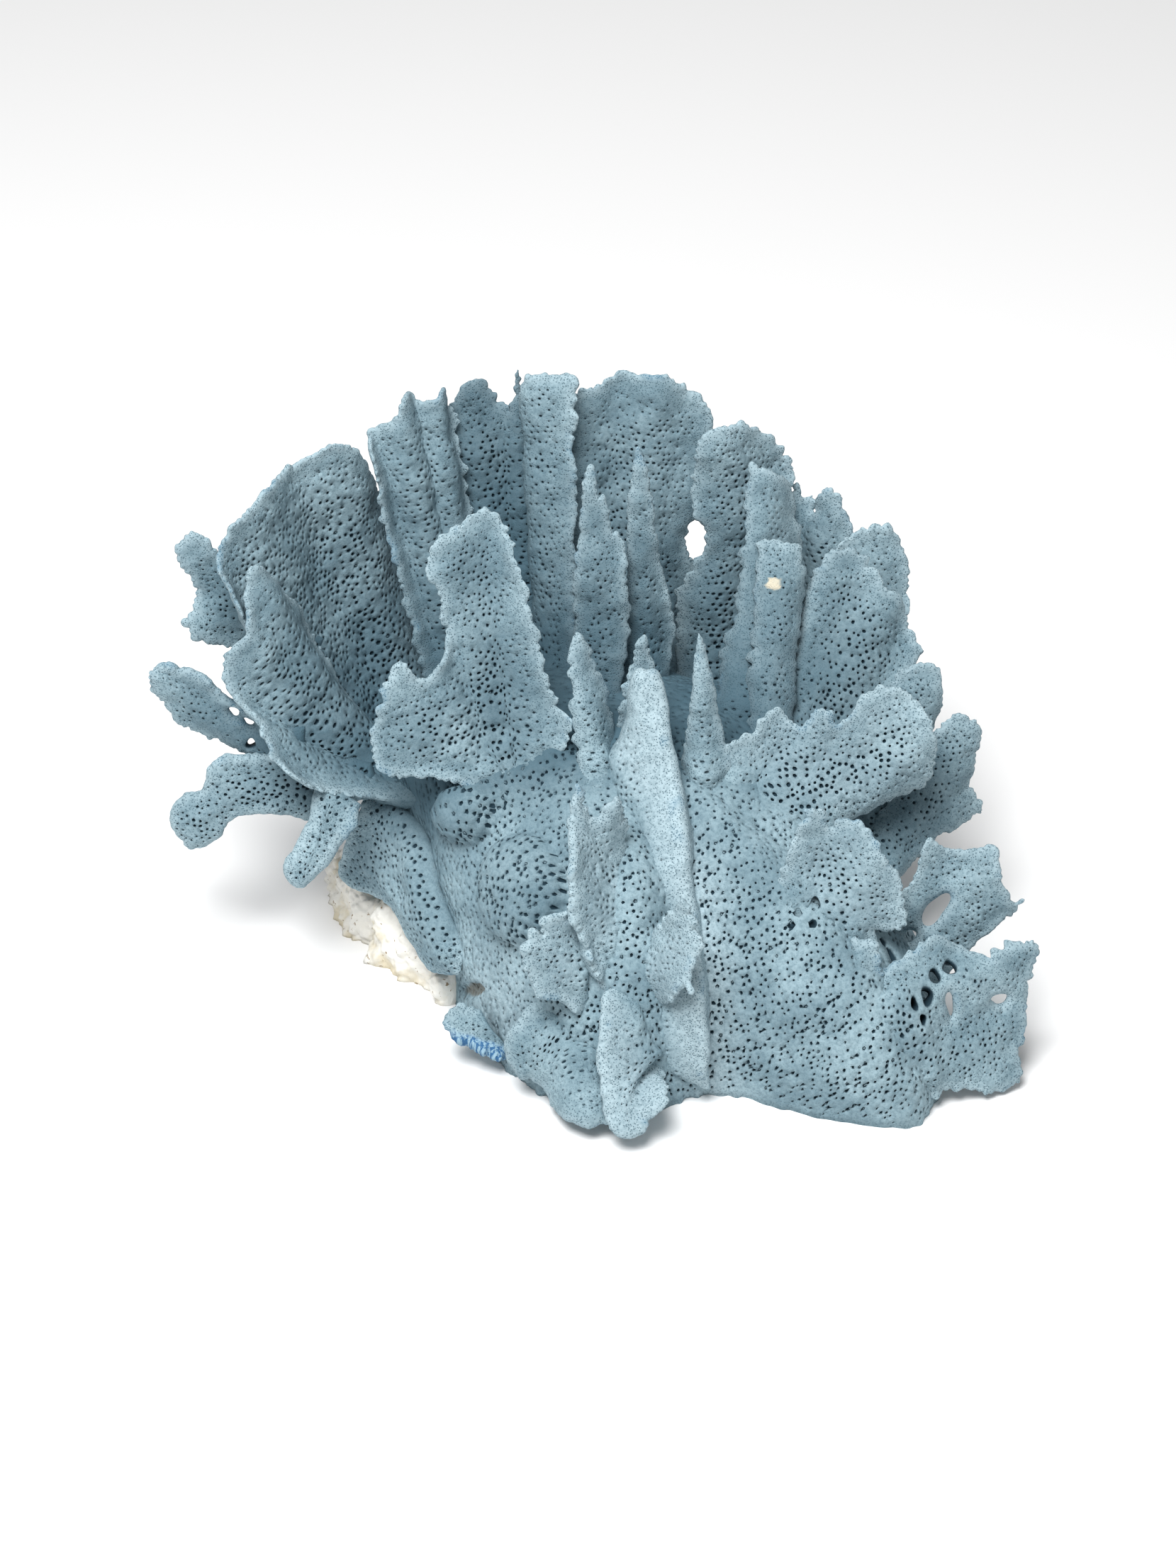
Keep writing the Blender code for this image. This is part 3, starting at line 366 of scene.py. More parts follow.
        holes=[(116, -60.6, 3, 5), (101.8, -62, 7, 2.4)],
        bores=[(101.3, -52.1, 3.6, 3.4), (97, -54.7, 3.2, 3.2), (94.6, -60, 3.2, 3.4),
               (90.2, -61.8, 2.2, 2.2), (92.6, -64.8, 2.2, 2.2)]),
}


def with_usual(plate):
    """A plate's values and the usual ones that it doesn't give, with its rim as points in space."""
    return USUAL | plate | {"edge": seen_points(plate["rim"])}


PLATES = {name: with_usual(plate) for name, plate in PLATES.items()}
print("plates and fingers:", len(PLATES))


# %% The sheet in the middle of a plate
def middle_sheet(plate, along, rise):
    """A quadratic curve from root to rim in each column. Its control point is half-way between
    them, plus bow."""
    root = smooth_line(plate["root"], along)
    rim = smooth_line(plate["edge"], along)
    waist = (root + rim) / 2 + np.array(plate["bow"], float)
    v = np.asarray(rise)[..., None]
    return (1 - v) ** 2 * root + 2 * v * (1 - v) * waist + v**2 * rim


def sheet_normals(plate, along, rise):
    """Unit normals of the middle sheet, from small steps along and up it."""
    step, margin = 0.01, 0.012
    along = np.clip(along, margin, 1 - margin)
    rise = np.clip(rise, margin, 1 - margin)
    sideways = middle_sheet(plate, along + step, rise) - middle_sheet(plate, along - step, rise)
    upward = middle_sheet(plate, along, rise + step) - middle_sheet(plate, along, rise - step)
    return unit(np.cross(sideways, upward))


# %% [markdown]
# ## The foot
# The foot is the part that crept over the ground: a low mound with an even slope at the front,
# steep pleated sides and two round lumps. A sculpted blob would do, but then the plates would not
# know where its surface is. So it is a formula: every bearing has a reach on the ground, and the
# height falls from the top to the ground along that reach.

# %% The foot's form
FOOT_HEIGHT = 80.0
FOOT_MIDDLE = np.array([8.0, 4.0])
FOOT_OUTLINE = [
    (92, 4), (98, -36), (96, -66), (86, -77), (60, -71), (36, -62), (14, -71), (-8, -66),
    (-23, -51), (-36, -36), (-47, -18), (-57, 4), (-70, 27), (-64, 48), (-36, 60), (8, 64),
    (50, 58), (78, 36),
]
FOOT_OVERHANG = 9.0
# The slope's power in front, and what the back adds to it: a higher one is fuller and steeper.
SLOPE_POWERS = (1.45, 2.4)
# Where the crust is, the foot's skin stands over it: depth at the ground, and the bearing.
FOOT_UNDERCUT = 9.0
CRUST_BEARING = -2.9
# The steep sides are pleated: the number of pleats all round, and their depth.
FOOT_PLEATS = (11, 2.6)
# Two round lumps: across and up as seen, half width and half height, and how far they stand out.
FOOT_LUMPS = [(-34.4, -8.4, 8.0, 8.0, 6.0), (-17.8, -29.8, 11.4, 15.5, 9.0)]
# Three soft swellings: x, y, half width, half length, and height.
FOOT_SWELLS = [(13, -46, 15, 26, 6.0), (-38, -6, 14, 14, 5.0), (-50, 8, 17, 22, 14.0)]

turn = np.linspace(0, 1, 720, endpoint=False)
spread = smooth_line(FOOT_OUTLINE + FOOT_OUTLINE[:1], turn) - FOOT_MIDDLE
spread_bearing = np.arctan2(spread[:, 1], spread[:, 0])
spread_reach = np.linalg.norm(spread, axis=1)


def foot_profile(bearing):
    """Reach on the ground, power of the slope and overhang for an array of bearings."""
    outward_x, outward_y = np.cos(bearing), np.sin(bearing)
    back_side = np.clip(outward_y + 0.6, 0, 1)
    pleats, depth = FOOT_PLEATS
    front_power, back_power = SLOPE_POWERS
    power = front_power + back_power * back_side
    reach = np.interp(bearing, spread_bearing, spread_reach, period=2 * math.pi)
    reach = reach + depth * back_side * np.sin(pleats * bearing)
    return reach, power, FOOT_OVERHANG * np.clip(-outward_x, 0, 1)


def foot_points(bearing, share):
    """Points of the foot: bearing turns round it, share runs from 0 at the top to 1 at the ground."""
    reach, power, overhang = foot_profile(bearing)
    height = FOOT_HEIGHT * np.sqrt(np.maximum(1 - share**power, 0))
    radius = reach * share + overhang * 4 * share * (1 - share)
    over_crust = np.clip(np.cos(bearing - CRUST_BEARING), 0, 1) ** 8
    radius = radius - FOOT_UNDERCUT * over_crust * share**8
    plan = FOOT_MIDDLE + np.stack([np.cos(bearing), np.sin(bearing)], axis=-1) * radius[..., None]
    for x, y, half_width, half_length, swell in FOOT_SWELLS:
        away = ((plan[..., 0] - x) / half_width) ** 2 + ((plan[..., 1] - y) / half_length) ** 2
        height = height + swell * np.clip(1 - away, 0, 1) ** 2
    return np.concatenate([plan, height[..., None]], axis=-1)


def above_foot(points):
    """Rough distance from points to the foot's surface, below zero inside it: the distance to a
    slope is the product of its level and upright distances over their hypotenuse."""
    out = points[..., :2] - FOOT_MIDDLE
    radius = np.linalg.norm(out, axis=-1)
    reach, power, overhang = foot_profile(np.arctan2(out[..., 1], out[..., 0]))
    level = np.clip(points[..., 2] / FOOT_HEIGHT, 0, 1)
    share = (1 - level**2) ** (1 / power)
    beside = radius - reach * share - overhang * 4 * share * (1 - share)
    over = points[..., 2] - FOOT_HEIGHT * np.sqrt(np.maximum(1 - (radius / reach) ** power, 0))
    both = np.where(beside > 0, 1, -1) * np.abs(beside * over)
    return both / np.maximum(np.hypot(beside, over), 0.01)


print("foot reach, mm:", spread_reach.min().round(1), "to", spread_reach.max().round(1))

# %% [markdown]
# ## Pores
# Blue coral is covered with round pores about 0.9 mm wide, some 2 mm apart, each a small pit with
# steep walls. They could be painted or bumped on, but then they vanish in profile and from the
# mesh itself. Here every pore is real: the surface is drawn flat, rings of points are laid
# out on it, a Delaunay triangulation joins them, and the inner ring is pushed in.

# %% Which points are near, inside or too close
def blocks(count, size=3000):
    """Slices that cut a long array into blocks, so that tables of all pairs stay small."""
    return [slice(start, start + size) for start in range(0, count, size)]


def nearest(points, targets):
    """Distance from each point to the nearest target."""
    distance = np.empty(len(points))
    for part in blocks(len(points)):
        gap = points[part, None, :] - targets[None]
        distance[part] = np.sqrt(np.einsum("ijk,ijk->ij", gap, gap).min(axis=1))
    return distance


def inside(points, outline):
    """Whether points lie in a closed outline: a line to the right crosses it an odd number of
    times."""
    a, b = outline, np.roll(outline, -1, axis=0)
    found = np.zeros(len(points), bool)
    for part in blocks(len(points)):
        x, y = points[part, :1], points[part, 1:]
        spans = (a[:, 1] > y) != (b[:, 1] > y)
        run = (b[:, 0] - a[:, 0]) * (y - a[:, 1]) / np.where(spans, b[:, 1] - a[:, 1], 1) + a[:, 0]
        found[part] = (spans & (x < run)).sum(axis=1) % 2 == 1
    return found


def spaced(spots, least):
    """Which spots stay when those closer than least to an earlier one are dropped."""
    kept = np.ones(len(spots), bool)
    for part in blocks(len(spots)):
        gap = spots[part, None, :] - spots[None]
        close = np.einsum("ijk,ijk->ij", gap, gap) < least**2
        earlier = np.arange(len(spots)) < part.start + np.arange(len(close))[:, None]
        kept[part] = ~(close & earlier).any(axis=1)
    return kept


# %% Pores on a flat drawing
# Sizes in mm: between the pores' middles, the least allowed, a pore's radius and depth.
PITCH = 1.85
LEAST_GAP = 1.4
PORE_RADIUS = 0.58
PORE_DEPTH = 1.0
PORE_SIDES = 7
# A pore's floor is this share of its mouth.
PORE_FLOOR = 0.76
# In a honeycomb of pitch 1: how far apart its rows are, and how high its cells' corners.
ROW_HEIGHT = 0.866
CORNER_HEIGHT = 0.289
# How far a pore, and a corner between pores, may stray from its place, as a share of the pitch.
PORE_STRAY = 0.3
CORNER_STRAY = 0.06


def honeycomb(low, high, pitch, random):
    """Cell middles and cell corners of a honeycomb over a box, with some disorder."""
    rows = np.arange(low[1], high[1], pitch * ROW_HEIGHT)
    cols = np.arange(low[0], high[0], pitch)
    x, y = np.meshgrid(cols, rows)
    x = x + pitch * 0.5 * (np.arange(len(rows))[:, None] % 2)
    middles = np.stack([x, y], axis=-1).reshape(-1, 2)
    corners = np.concatenate([middles + (pitch / 2, pitch * CORNER_HEIGHT),
                              middles + (pitch / 2, -pitch * CORNER_HEIGHT)])
    middles = middles + random.uniform(-PORE_STRAY, PORE_STRAY, middles.shape) * pitch
    corners = corners + random.uniform(-CORNER_STRAY, CORNER_STRAY, corners.shape) * pitch
    return middles, corners


def rings(middles, radius, sides, random):
    """A ring of points round each middle, turned at random and slightly oval."""
    turn = random.uniform(0, 2 * math.pi, (len(middles), 1))
    angle = turn + np.arange(sides) * 2 * math.pi / sides
    oval = random.uniform(0.88, 1.12, (len(middles), 1))
    offset = np.stack([np.cos(angle) * oval, np.sin(angle) / oval], axis=-1) * radius[:, None, None]
    return (middles[:, None, :] + offset).reshape(-1, 2)


print("honeycomb cells to a square centimetre:", round(100 / (PITCH**2 * ROW_HEIGHT)))


# %% Triangles through every point
def triangulate(points, loops):
    """Delaunay triangles of flat points inside the first loop and outside the others."""
    edges = []
    start = 0
    for loop in loops:
        step = np.arange(len(loop))
        edges.append(np.stack([start + step, start + (step + 1) % len(loop)], axis=1))
        start += len(loop)
    everything = np.vstack([*loops, points])
    found = delaunay_2d_cdt(everything.tolist(), np.vstack(edges).tolist(), [], 1, 1e-5, False)
    spots, triangles = np.array(found[0]), np.array(found[2])
    middle = spots[triangles].mean(axis=1)
    kept = inside(middle, loops[0])
    for hole in loops[1:]:
        kept &= ~inside(middle, hole)
    return spots, triangles[kept]


def open_edges(triangles):
    """Directed edges that only one triangle has."""
    sides = np.concatenate([triangles[:, [0, 1]], triangles[:, [1, 2]], triangles[:, [2, 0]]])
    size = triangles.max() + 1
    forth, back = sides[:, 0] * size + sides[:, 1], sides[:, 1] * size + sides[:, 0]
    return sides[~np.isin(forth, back)]


# %% [markdown]
# ## Rims
# A growing rim is never smooth: it has lobes some 8 mm wide, round teeth of 3 mm on those, and a
# fine grain. Noise would make it fuzzy, while an arch of the sine's absolute value gives what the
# rim has, round teeth with sharp notches between them.

# %% Ragged outlines
# Width and height in mm of the arches, and of the noise on them.
LOBES = ((8.5, 1.3), (3.7, 0.6))
SERRATION = ((2.1, 0.6), (1.0, 0.4))
EDGE_STEP = 0.45


def ragged(length, random):
    """Offset of a grown edge by distance along it: arches of two sizes, each of uneven width, and
    two sizes of noise for their serration."""
    total = np.zeros(len(length))
    for width, height in LOBES:
        phase = random.uniform(0, 6, 3)
        wander = length / width + 0.45 * np.sin(1.9 * length / width + phase[0]) + phase[1]
        strength = 0.55 + 0.45 * np.sin(0.8 * length / width + phase[2])
        total += height * strength * (np.abs(np.sin(math.pi * wander)) ** 0.7 - 0.8)
    for width, height in SERRATION:
        total += height * soft_noise(length[:, None], width, int(random.integers(1000)))
    return total


def drawing_plane(plate):
    """The flat plane that a plate is drawn on: its middle, and its across, growth and facing axes."""
    along, rise = np.meshgrid(np.linspace(0, 1, 61), np.linspace(0, 1, 31), indexing="ij")
    points = middle_sheet(plate, along, rise)
    facing = unit(np.cross(np.gradient(points, axis=0), np.gradient(points, axis=1)).sum(axis=(0, 1)))
    growth = (points[:, -1] - points[:, 0]).mean(axis=0)
    growth = unit(growth - growth @ facing * facing)
    return points.mean(axis=(0, 1)), np.stack([np.cross(growth, facing), growth, facing])


def drawn(points, plane):
    """Points of space as x, y on the drawing plane and height over it."""
    return (points - plane[0]) @ plane[1].T


def outline_of(plate, plane, random):
    """A plate's outline on its drawing plane, in even steps, with teeth where it grew free."""
    step = np.linspace(0, 1, 300, endpoint=False)
    one, none = np.ones_like(step), np.zeros_like(step)
    along = np.concatenate([step, one, 1 - step, none])
    rise = np.concatenate([none, step, one, 1 - step])
    line = drawn(middle_sheet(plate, along, rise), plane)[:, :2]
    line, rise = np.vstack([line, line[:1]]), np.append(rise, 0)
    length = np.append(0, np.cumsum(np.linalg.norm(np.diff(line, axis=0), axis=1)))
    even = np.linspace(0, length[-1], int(length[-1] / EDGE_STEP), endpoint=False)
    line = np.stack([np.interp(even, length, line[:, 0]), np.interp(even, length, line[:, 1])], axis=1)
    rise = np.interp(even, length, rise)
    ahead = sum(np.roll(line, -n, axis=0) - np.roll(line, n, axis=0) for n in (1, 2, 3))
    outward = unit(np.stack([ahead[:, 1], -ahead[:, 0]], axis=1))
    free = ramp(rise, 0.1, 0.4)
    teeth = plate["teeth"] * ragged(even, random)
    return line + outward * (teeth * free)[:, None], free, outward


# %% The sheet over any spot of the drawing
SHEET_GRID = (61, 33)
SHEET_BLUR = 1.7
# Added to the squares of the fit, so that a spot with samples in a line has an answer too.
STEADYING = 0.02


def sheet_at(plate, plane, spots):
    """Height, its slopes, along and rise of the middle sheet at spots of the drawing plane. Samples
    of the sheet are weighted by a bell curve of their distance, and a plane is fitted through them:
    moving least squares, so the sheet stays smooth where its columns cross."""
    along, rise = np.meshgrid(*(np.linspace(0, 1, n) for n in SHEET_GRID), indexing="ij")
    along, rise = along.ravel(), rise.ravel()
    count, depth = plate["folds"]
    fold = depth * np.sin(2 * math.pi * count * along) * rise
    sheet = middle_sheet(plate, along, rise) + sheet_normals(plate, along, rise) * fold[:, None]
    x, y, height = drawn(sheet, plane).T
    one = np.ones_like(x)
    facts = [height, along, rise]
    sums = [one, x, y, x * x, x * y, y * y] + [f * g for f in facts for g in (one, x, y)]
    sums = np.stack(sums, axis=1)
    found = np.empty((len(spots), 5))
    for part in blocks(len(spots), 4000):
        here = spots[part]
        away = (here[:, :1] - x) ** 2 + (here[:, 1:] - y) ** 2
        closest = away.min(axis=1, keepdims=True)
        s = np.exp((closest - away) / (2 * SHEET_BLUR**2)) @ sums
        hx, hy = here.T
        n, sx, sy = s[:, 0], s[:, 1] - hx * s[:, 0], s[:, 2] - hy * s[:, 0]
        sxx = s[:, 3] - 2 * hx * s[:, 1] + hx * hx * n + STEADYING * n
        sxy = s[:, 4] - hx * s[:, 2] - hy * s[:, 1] + hx * hy * n
        syy = s[:, 5] - 2 * hy * s[:, 2] + hy * hy * n + STEADYING * n
        system = np.stack([n, sx, sy, sx, sxx, sxy, sy, sxy, syy], axis=1).reshape(-1, 3, 3)
        given = np.stack([np.stack([s[:, 6 + 3 * k], s[:, 7 + 3 * k] - hx * s[:, 6 + 3 * k],
                                    s[:, 8 + 3 * k] - hy * s[:, 6 + 3 * k]], axis=1)
                          for k in range(3)], axis=2)
        fit = np.linalg.solve(system, given)
        found[part] = np.stack([fit[:, 0, 0], fit[:, 1, 0], fit[:, 2, 0],
                                fit[:, 0, 1], fit[:, 0, 2]], axis=1)
    height, slope_x, slope_y = found[:, 0], found[:, 1], found[:, 2]
    return height, slope_x, slope_y, np.clip(found[:, 3], 0, 1), np.clip(found[:, 4], 0, 1)


# %% [markdown]
# ## From drawing to solid plate
# The drawing is laid on the middle sheet, and a front and a back skin stand off it on both sides.
# They come together round the edge in a quarter ellipse, and a narrow band closes them. That makes
# every plate one closed solid, thick at the root and thin at the rim.

# %% Thickness of a plate
def plate_thickness(plate, along, rise, edge):
    """Thickness of a plate: full at the root, thinner to the rim and to both ends."""
    at_root, at_rim = plate["thick"]
    thickness = at_rim + (at_root - at_rim) * (1 - rise) ** 2
    thickness = thickness * (0.45 + 0.55 * np.sqrt(np.clip(4 * along * (1 - along), 0, 1)))
    return thickness * (0.6 + 0.4 * ramp(edge, 0, 9))


print("left fan's thickness at root and rim, mm:", PLATES["left_fan"]["thick"])


# %% From points and triangles to a piece
def add_object(name, data):
    """A new object in the scene, at the origin."""
    made = bpy.data.objects.new(name, data)
    bpy.context.collection.objects.link(made)
    return made


def make_piece(name, points, triangles, facts, drawing):
    """A mesh object from points in millimetres, with its facts as attributes and its own map."""
    print(name, len(triangles), "triangles")
    mesh = bpy.data.meshes.new(name)
    mesh.vertices.add(len(points))
    mesh.vertices.foreach_set("co", (points * MM).ravel())
    mesh.loops.add(triangles.size)
    mesh.loops.foreach_set("vertex_index", triangles.ravel())
    mesh.polygons.add(len(triangles))
    mesh.polygons.foreach_set("loop_start", np.arange(0, triangles.size, 3))
    mesh.polygons.foreach_set("use_smooth", np.ones(len(triangles), bool))
    for fact, values in facts.items():
        attribute = mesh.attributes.new(fact, "FLOAT", "POINT")
        attribute.data.foreach_set("value", values.astype(np.float32))
    flat = drawing - drawing.min(axis=0)
    flat = flat / flat.max() * 0.99 + 0.005
    mesh.uv_layers.new(name="OFBake").data.foreach_set("uv", flat.ravel())
    mesh.update()
    return add_object(name, mesh)


# %% [markdown]
# ## Drawing a plate
# The drawing holds all that the triangles have to follow: the outline, the openings, rows along
# the rim, two rings for each pore and single points between them. Pores grow fuller away from the
# rim, as the polyps there were older, and deep in the foot only every third point is kept.

# %% Openings, and the points between the pores
PORE_TO_EDGE = 1.25
POINT_TO_EDGE = 1.1
# Rows along the rim, by their distance from it.
INSETS = (0.35, 0.8)
# The ring of points round a bore: its size beside the bore's, and its least gap to any edge.
COLLAR = 1.35
COLLAR_GAP = 0.3


def opening(plate, plane, hole, random):
    """A hole's loop on the drawing plane: a wobbly oval round the spot (across, up) where it is
    seen."""
    across, up, wide, high = hole
    along, rise = np.meshgrid(np.linspace(0, 1, 121), np.linspace(0, 1, 81), indexing="ij")
    sheet = middle_sheet(plate, along, rise).reshape(-1, 3)
    away = np.linalg.norm(seen_from_front(sheet) - (across, up), axis=1)
    middle = drawn(sheet[away.argmin()], plane)[:2]
    count = max(8, int(3 * (wide + high)))
    angle = np.arange(count) * 2 * math.pi / count
    wobble = 1 + 0.12 * np.sin(2 * angle + random.uniform(0, 6))
    wobble = wobble + 0.1 * np.sin(3 * angle + random.uniform(0, 6))
    oval = np.stack([np.cos(angle) * wide, np.sin(angle) * high], axis=1) / 2
    return middle + oval * wobble[:, None]


def collar_points(bore, bores, every_edge):
    """A ring of points round a bore, where it is clear of every edge and every bore."""
    middle = bore.mean(axis=0)
    collar = middle + (bore - middle) * COLLAR
    collar = collar[nearest(collar, every_edge) > COLLAR_GAP]
    for other in bores:
        collar = collar[~inside(collar, other)]
    return collar


def buried_nearby(spots, plate, plane):
    """Which spots to leave out: two of three that are deep in the foot, where no detail is seen."""
    height = sheet_at(plate, plane, spots)[0]
    deep = above_foot(plane[0] + np.column_stack([spots, height]) @ plane[1]) < -6
    return deep & (np.arange(len(spots)) % 3 > 0)


# %% Growing a plate
def grow_plate(name, plate, seed):
    """One plate: outline, openings, pores and triangles on the drawing, then its two skins."""
    random = np.random.default_rng(seed)
    plane = drawing_plane(plate)
    outline, free, outward = outline_of(plate, plane, random)
    middles, corners = honeycomb(outline.min(axis=0), outline.max(axis=0), PITCH, random)
    holes = [opening(plate, plane, hole, random) for hole in plate["holes"]]
    bores = [opening(plate, plane, bore, random) for bore in plate["bores"]]
    loops = [outline, *holes, *bores]
    every_edge = np.vstack(loops)
    rim = np.vstack([outline[free > 0.5], *holes])

    middles = middles[inside(middles, outline)]
    middles = middles[spaced(middles, LEAST_GAP)]
    middles = middles[nearest(middles, every_edge) > PORE_TO_EDGE]
    to_rim = nearest(middles, rim)
    height, _, _, along, rise = sheet_at(plate, plane, middles)
    sheet = plane[0] + np.column_stack([middles, height]) @ plane[1]
    buried = above_foot(sheet) < -0.5 - plate_thickness(plate, along, rise, to_rim) / 2
    bare, full = plate["bare"], plate["bare"] + plate["ripen"]
    fullness = ramp(to_rim + soft_noise(middles, 6, seed) * 2.0, bare, full)
    porous = (fullness > 0.05) & ~buried
    radius = PORE_RADIUS * (0.45 + 0.45 * fullness + 0.2 * (1 - rise))
    radius = radius * random.uniform(0.7, 1.25, len(middles))

    filling = np.vstack([corners[inside(corners, outline)], middles[~porous]])
    filling = filling[nearest(filling, every_edge) > POINT_TO_EDGE]
    filling = filling[~buried_nearby(filling, plate, plane)]
    filling = np.vstack([filling, *(collar_points(bore, bores, every_edge) for bore in bores)])
    rows = [outline - outward * inset for inset in INSETS]
    rows = [row[inside(row, outline) & (nearest(row, every_edge) > inset * 0.8)]
            for row, inset in zip(rows, INSETS)]
    middles, radius = middles[porous], radius[porous]
    outer = rings(middles, radius, PORE_SIDES, np.random.default_rng(seed))
    inner = rings(middles, radius * PORE_FLOOR, PORE_SIDES, np.random.default_rng(seed))
    spots, triangles = triangulate(np.vstack([*rows, filling, outer, inner]), loops)
    pit = np.zeros(len(spots))
    first = sum(len(part) for part in (*loops, *rows, filling, outer))
    pit[first:first + len(inner)] = np.repeat(0.55 + 0.45 * fullness[porous], PORE_SIDES)
    edges = np.vstack([outline, *holes])
    # Bore loops count as fully in a pore: they sink and get painted shade
    pit[len(edges):len(every_edge)] = 1
    return raise_skins(name, plate, plane, spots, triangles, pit, rim, edges, seed)


# %% [markdown]
# ## Raising the skins
# Solidify would give one thickness and square edges. Here each skin has its own distance from the
# sheet: half the thickness, rounded off at the edge, plus slow waves, less the depth of the pores.
# Near the foot the plate flares, as it does where new skeleton fills the corner.

# %% Two skins and the band between them
ROOT_FLARE = 2.2
# Noise over a plate, as height and size: slow waves that both skins share, and their swelling.
WAVES = ((1.0, 11), (0.4, 4.5))
SWELLING = (0.3, 2.6)
CRUMB_HEIGHT = 0.6


def crumb_share(plate, points, seed):
    """How much each point belongs to the plate's crumb of lime, by its place as seen."""
    if not plate["crumb"]:
        return np.zeros(len(points))
    across, up, reach = plate["crumb"]
    away = np.linalg.norm(seen_from_front(points) - (across, up), axis=1)
    away = away + soft_noise(points, 1.5, seed) * 0.6
    return ramp(-away, -reach - 0.4, -reach + 0.4)


def skins_drawing(spots, triangles, lips):
    """The map of a plate's faces: its front as drawn, its back mirrored beside it, and the band
    as a narrow strip along the edge."""
    a, b = lips
    away = unit(spots[b] - spots[a])[:, ::-1] * (0.4, -0.4)
    left, right = spots[:, 0].min(), spots[:, 0].max()
    beside = (2 * (right - left + 2) + 2 * left, 0)
    return np.concatenate([
        spots[triangles], spots[triangles[:, ::-1]] * (-1, 1) + beside,
        np.stack([spots[a], spots[a] + away, spots[b] + away], axis=1),
        np.stack([spots[a], spots[b] + away, spots[b]], axis=1)]).reshape(-1, 2)


def raise_skins(name, plate, plane, spots, triangles, pit, rim, edges, seed):
    """Lay a drawing on the middle sheet and stand its two skins off it."""
    height, slope_x, slope_y, along, rise = sheet_at(plate, plane, spots)
    middle = plane[0] + np.column_stack([spots, height]) @ plane[1]
    normal = unit(np.stack([-slope_x, -slope_y, np.ones(len(spots))], axis=1)) @ plane[1]
    to_rim, to_edge = nearest(spots, rim), nearest(spots, edges)

    thickness = plate_thickness(plate, along, rise, to_rim)
    over = above_foot(middle)
    flare = 2 * ROOT_FLARE * np.exp(-np.clip(over, 0, None) / 2.5) * ramp(to_edge, 0, 6)
    thickness = thickness + flare
    rounding = np.clip(to_edge / np.maximum(thickness * plate["blunt"], 0.9), 0, 1)
    half = thickness / 2 * np.maximum(np.sqrt(1 - (1 - rounding) ** 2), 0.18)
    wave = layered(middle, [(*size, seed + 1 + n) for n, size in enumerate(WAVES)])
    swell = layered(middle, [(*SWELLING, seed + 3)]) * ramp(to_edge, 0, 2)
    sink = pit * np.minimum(PORE_DEPTH, thickness * 0.33)
    crumb = crumb_share(plate, middle, seed)
    raised = wave + half + swell - sink * (1 - crumb) + CRUMB_HEIGHT * crumb
    front = middle + normal * raised[:, None]
    back = middle + normal * (wave - half + swell + sink)[:, None]
    points = np.vstack([front, back])
    points[:, 2] = np.maximum(points[:, 2], 0.05)

    number = len(spots)
    a, b = open_edges(triangles).T
    band = np.concatenate([np.stack([a, a + number, b + number], axis=1),
                           np.stack([a, b + number, b], axis=1)])
    faces = np.concatenate([triangles, triangles[:, ::-1] + number, band])
    # Painted shade: plates that stand further back get darker towards the root, and deep adds more
    painted_shade_and_lump_tone = 1.25 * (1 - rise) * ramp(middle[:, 1], -12, 16) + plate["deep"]
    # Painted light: each plate's pale value lightens it where it stands clear of the foot
    facts = {"pore": np.tile(pit, 2), "rim": np.tile(to_rim, 2),
             "painted_shade_and_lump_tone": np.tile(np.clip(painted_shade_and_lump_tone, 0, 1), 2),
             "painted_light": np.tile(plate["painted_light"] * ramp(over, -2, 4), 2)}
    if plate["crumb"]:
        facts["pore"][:number] *= 1 - crumb
        facts["crumb"] = np.append(crumb, 0 * crumb)
    return make_piece(name, points, faces, facts, skins_drawing(spots, triangles, (a, b)))


# %% All the plates
pieces = {}
for number, (name, plate) in enumerate(PLATES.items()):
    pieces[name] = grow_plate("pored_" + name, plate, 100 + number)

# %% [markdown]
# ## Growing the foot
# The foot curves too much for one flat plane. Its drawing is a round map like the ones of a pole:
# the distance from the middle is the way down the slope from the top, and the direction is the
# bearing. Pores are spaced by true lengths on the slope, so the map's stretch doesn't show.

# %% Map of the foot
BEARINGS = np.linspace(-math.pi, math.pi, 721)
SHARES = 1 - (1 - np.linspace(0, 1, 400)) ** 1.6
slope = foot_points(BEARINGS[:, None] + 0 * SHARES, SHARES + 0 * BEARINGS[:, None])
slope_steps = np.linalg.norm(np.diff(slope, axis=1, prepend=slope[:, :1]), axis=2)
slope_length = np.cumsum(slope_steps, axis=1)
WAYS = np.linspace(0, slope_length.max(), 401)
share_map = np.array([np.interp(WAYS, lengths, SHARES) for lengths in slope_length])


def foot_share(bearing, way):
    """Share of the reach at a way down the slope: the map's four nearest values, blended."""
    column = (np.mod(bearing + math.pi, 2 * math.pi)) / (2 * math.pi) * (len(BEARINGS) - 1)
    row = np.clip(way / WAYS[-1], 0, 1) * (len(WAYS) - 1)
    i = np.clip(column.astype(int), 0, len(BEARINGS) - 2)
    j = np.clip(row.astype(int), 0, len(WAYS) - 2)
    f, g = column - i, row - j
    low = share_map[i, j] * (1 - f) + share_map[i + 1, j] * f
    high = share_map[i, j + 1] * (1 - f) + share_map[i + 1, j + 1] * f
    return low * (1 - g) + high * g


def foot_spots(rows):
    """Points of the foot for rows that start with a bearing and a way down the slope."""
    return foot_points(rows[:, 0], foot_share(rows[:, 0], rows[:, 1]))


def to_the_ground(rows):
    """How much further down the slope the ground is from each row."""
    return np.interp(rows[:, 0], BEARINGS, slope_length[:, -1]) - rows[:, 1]


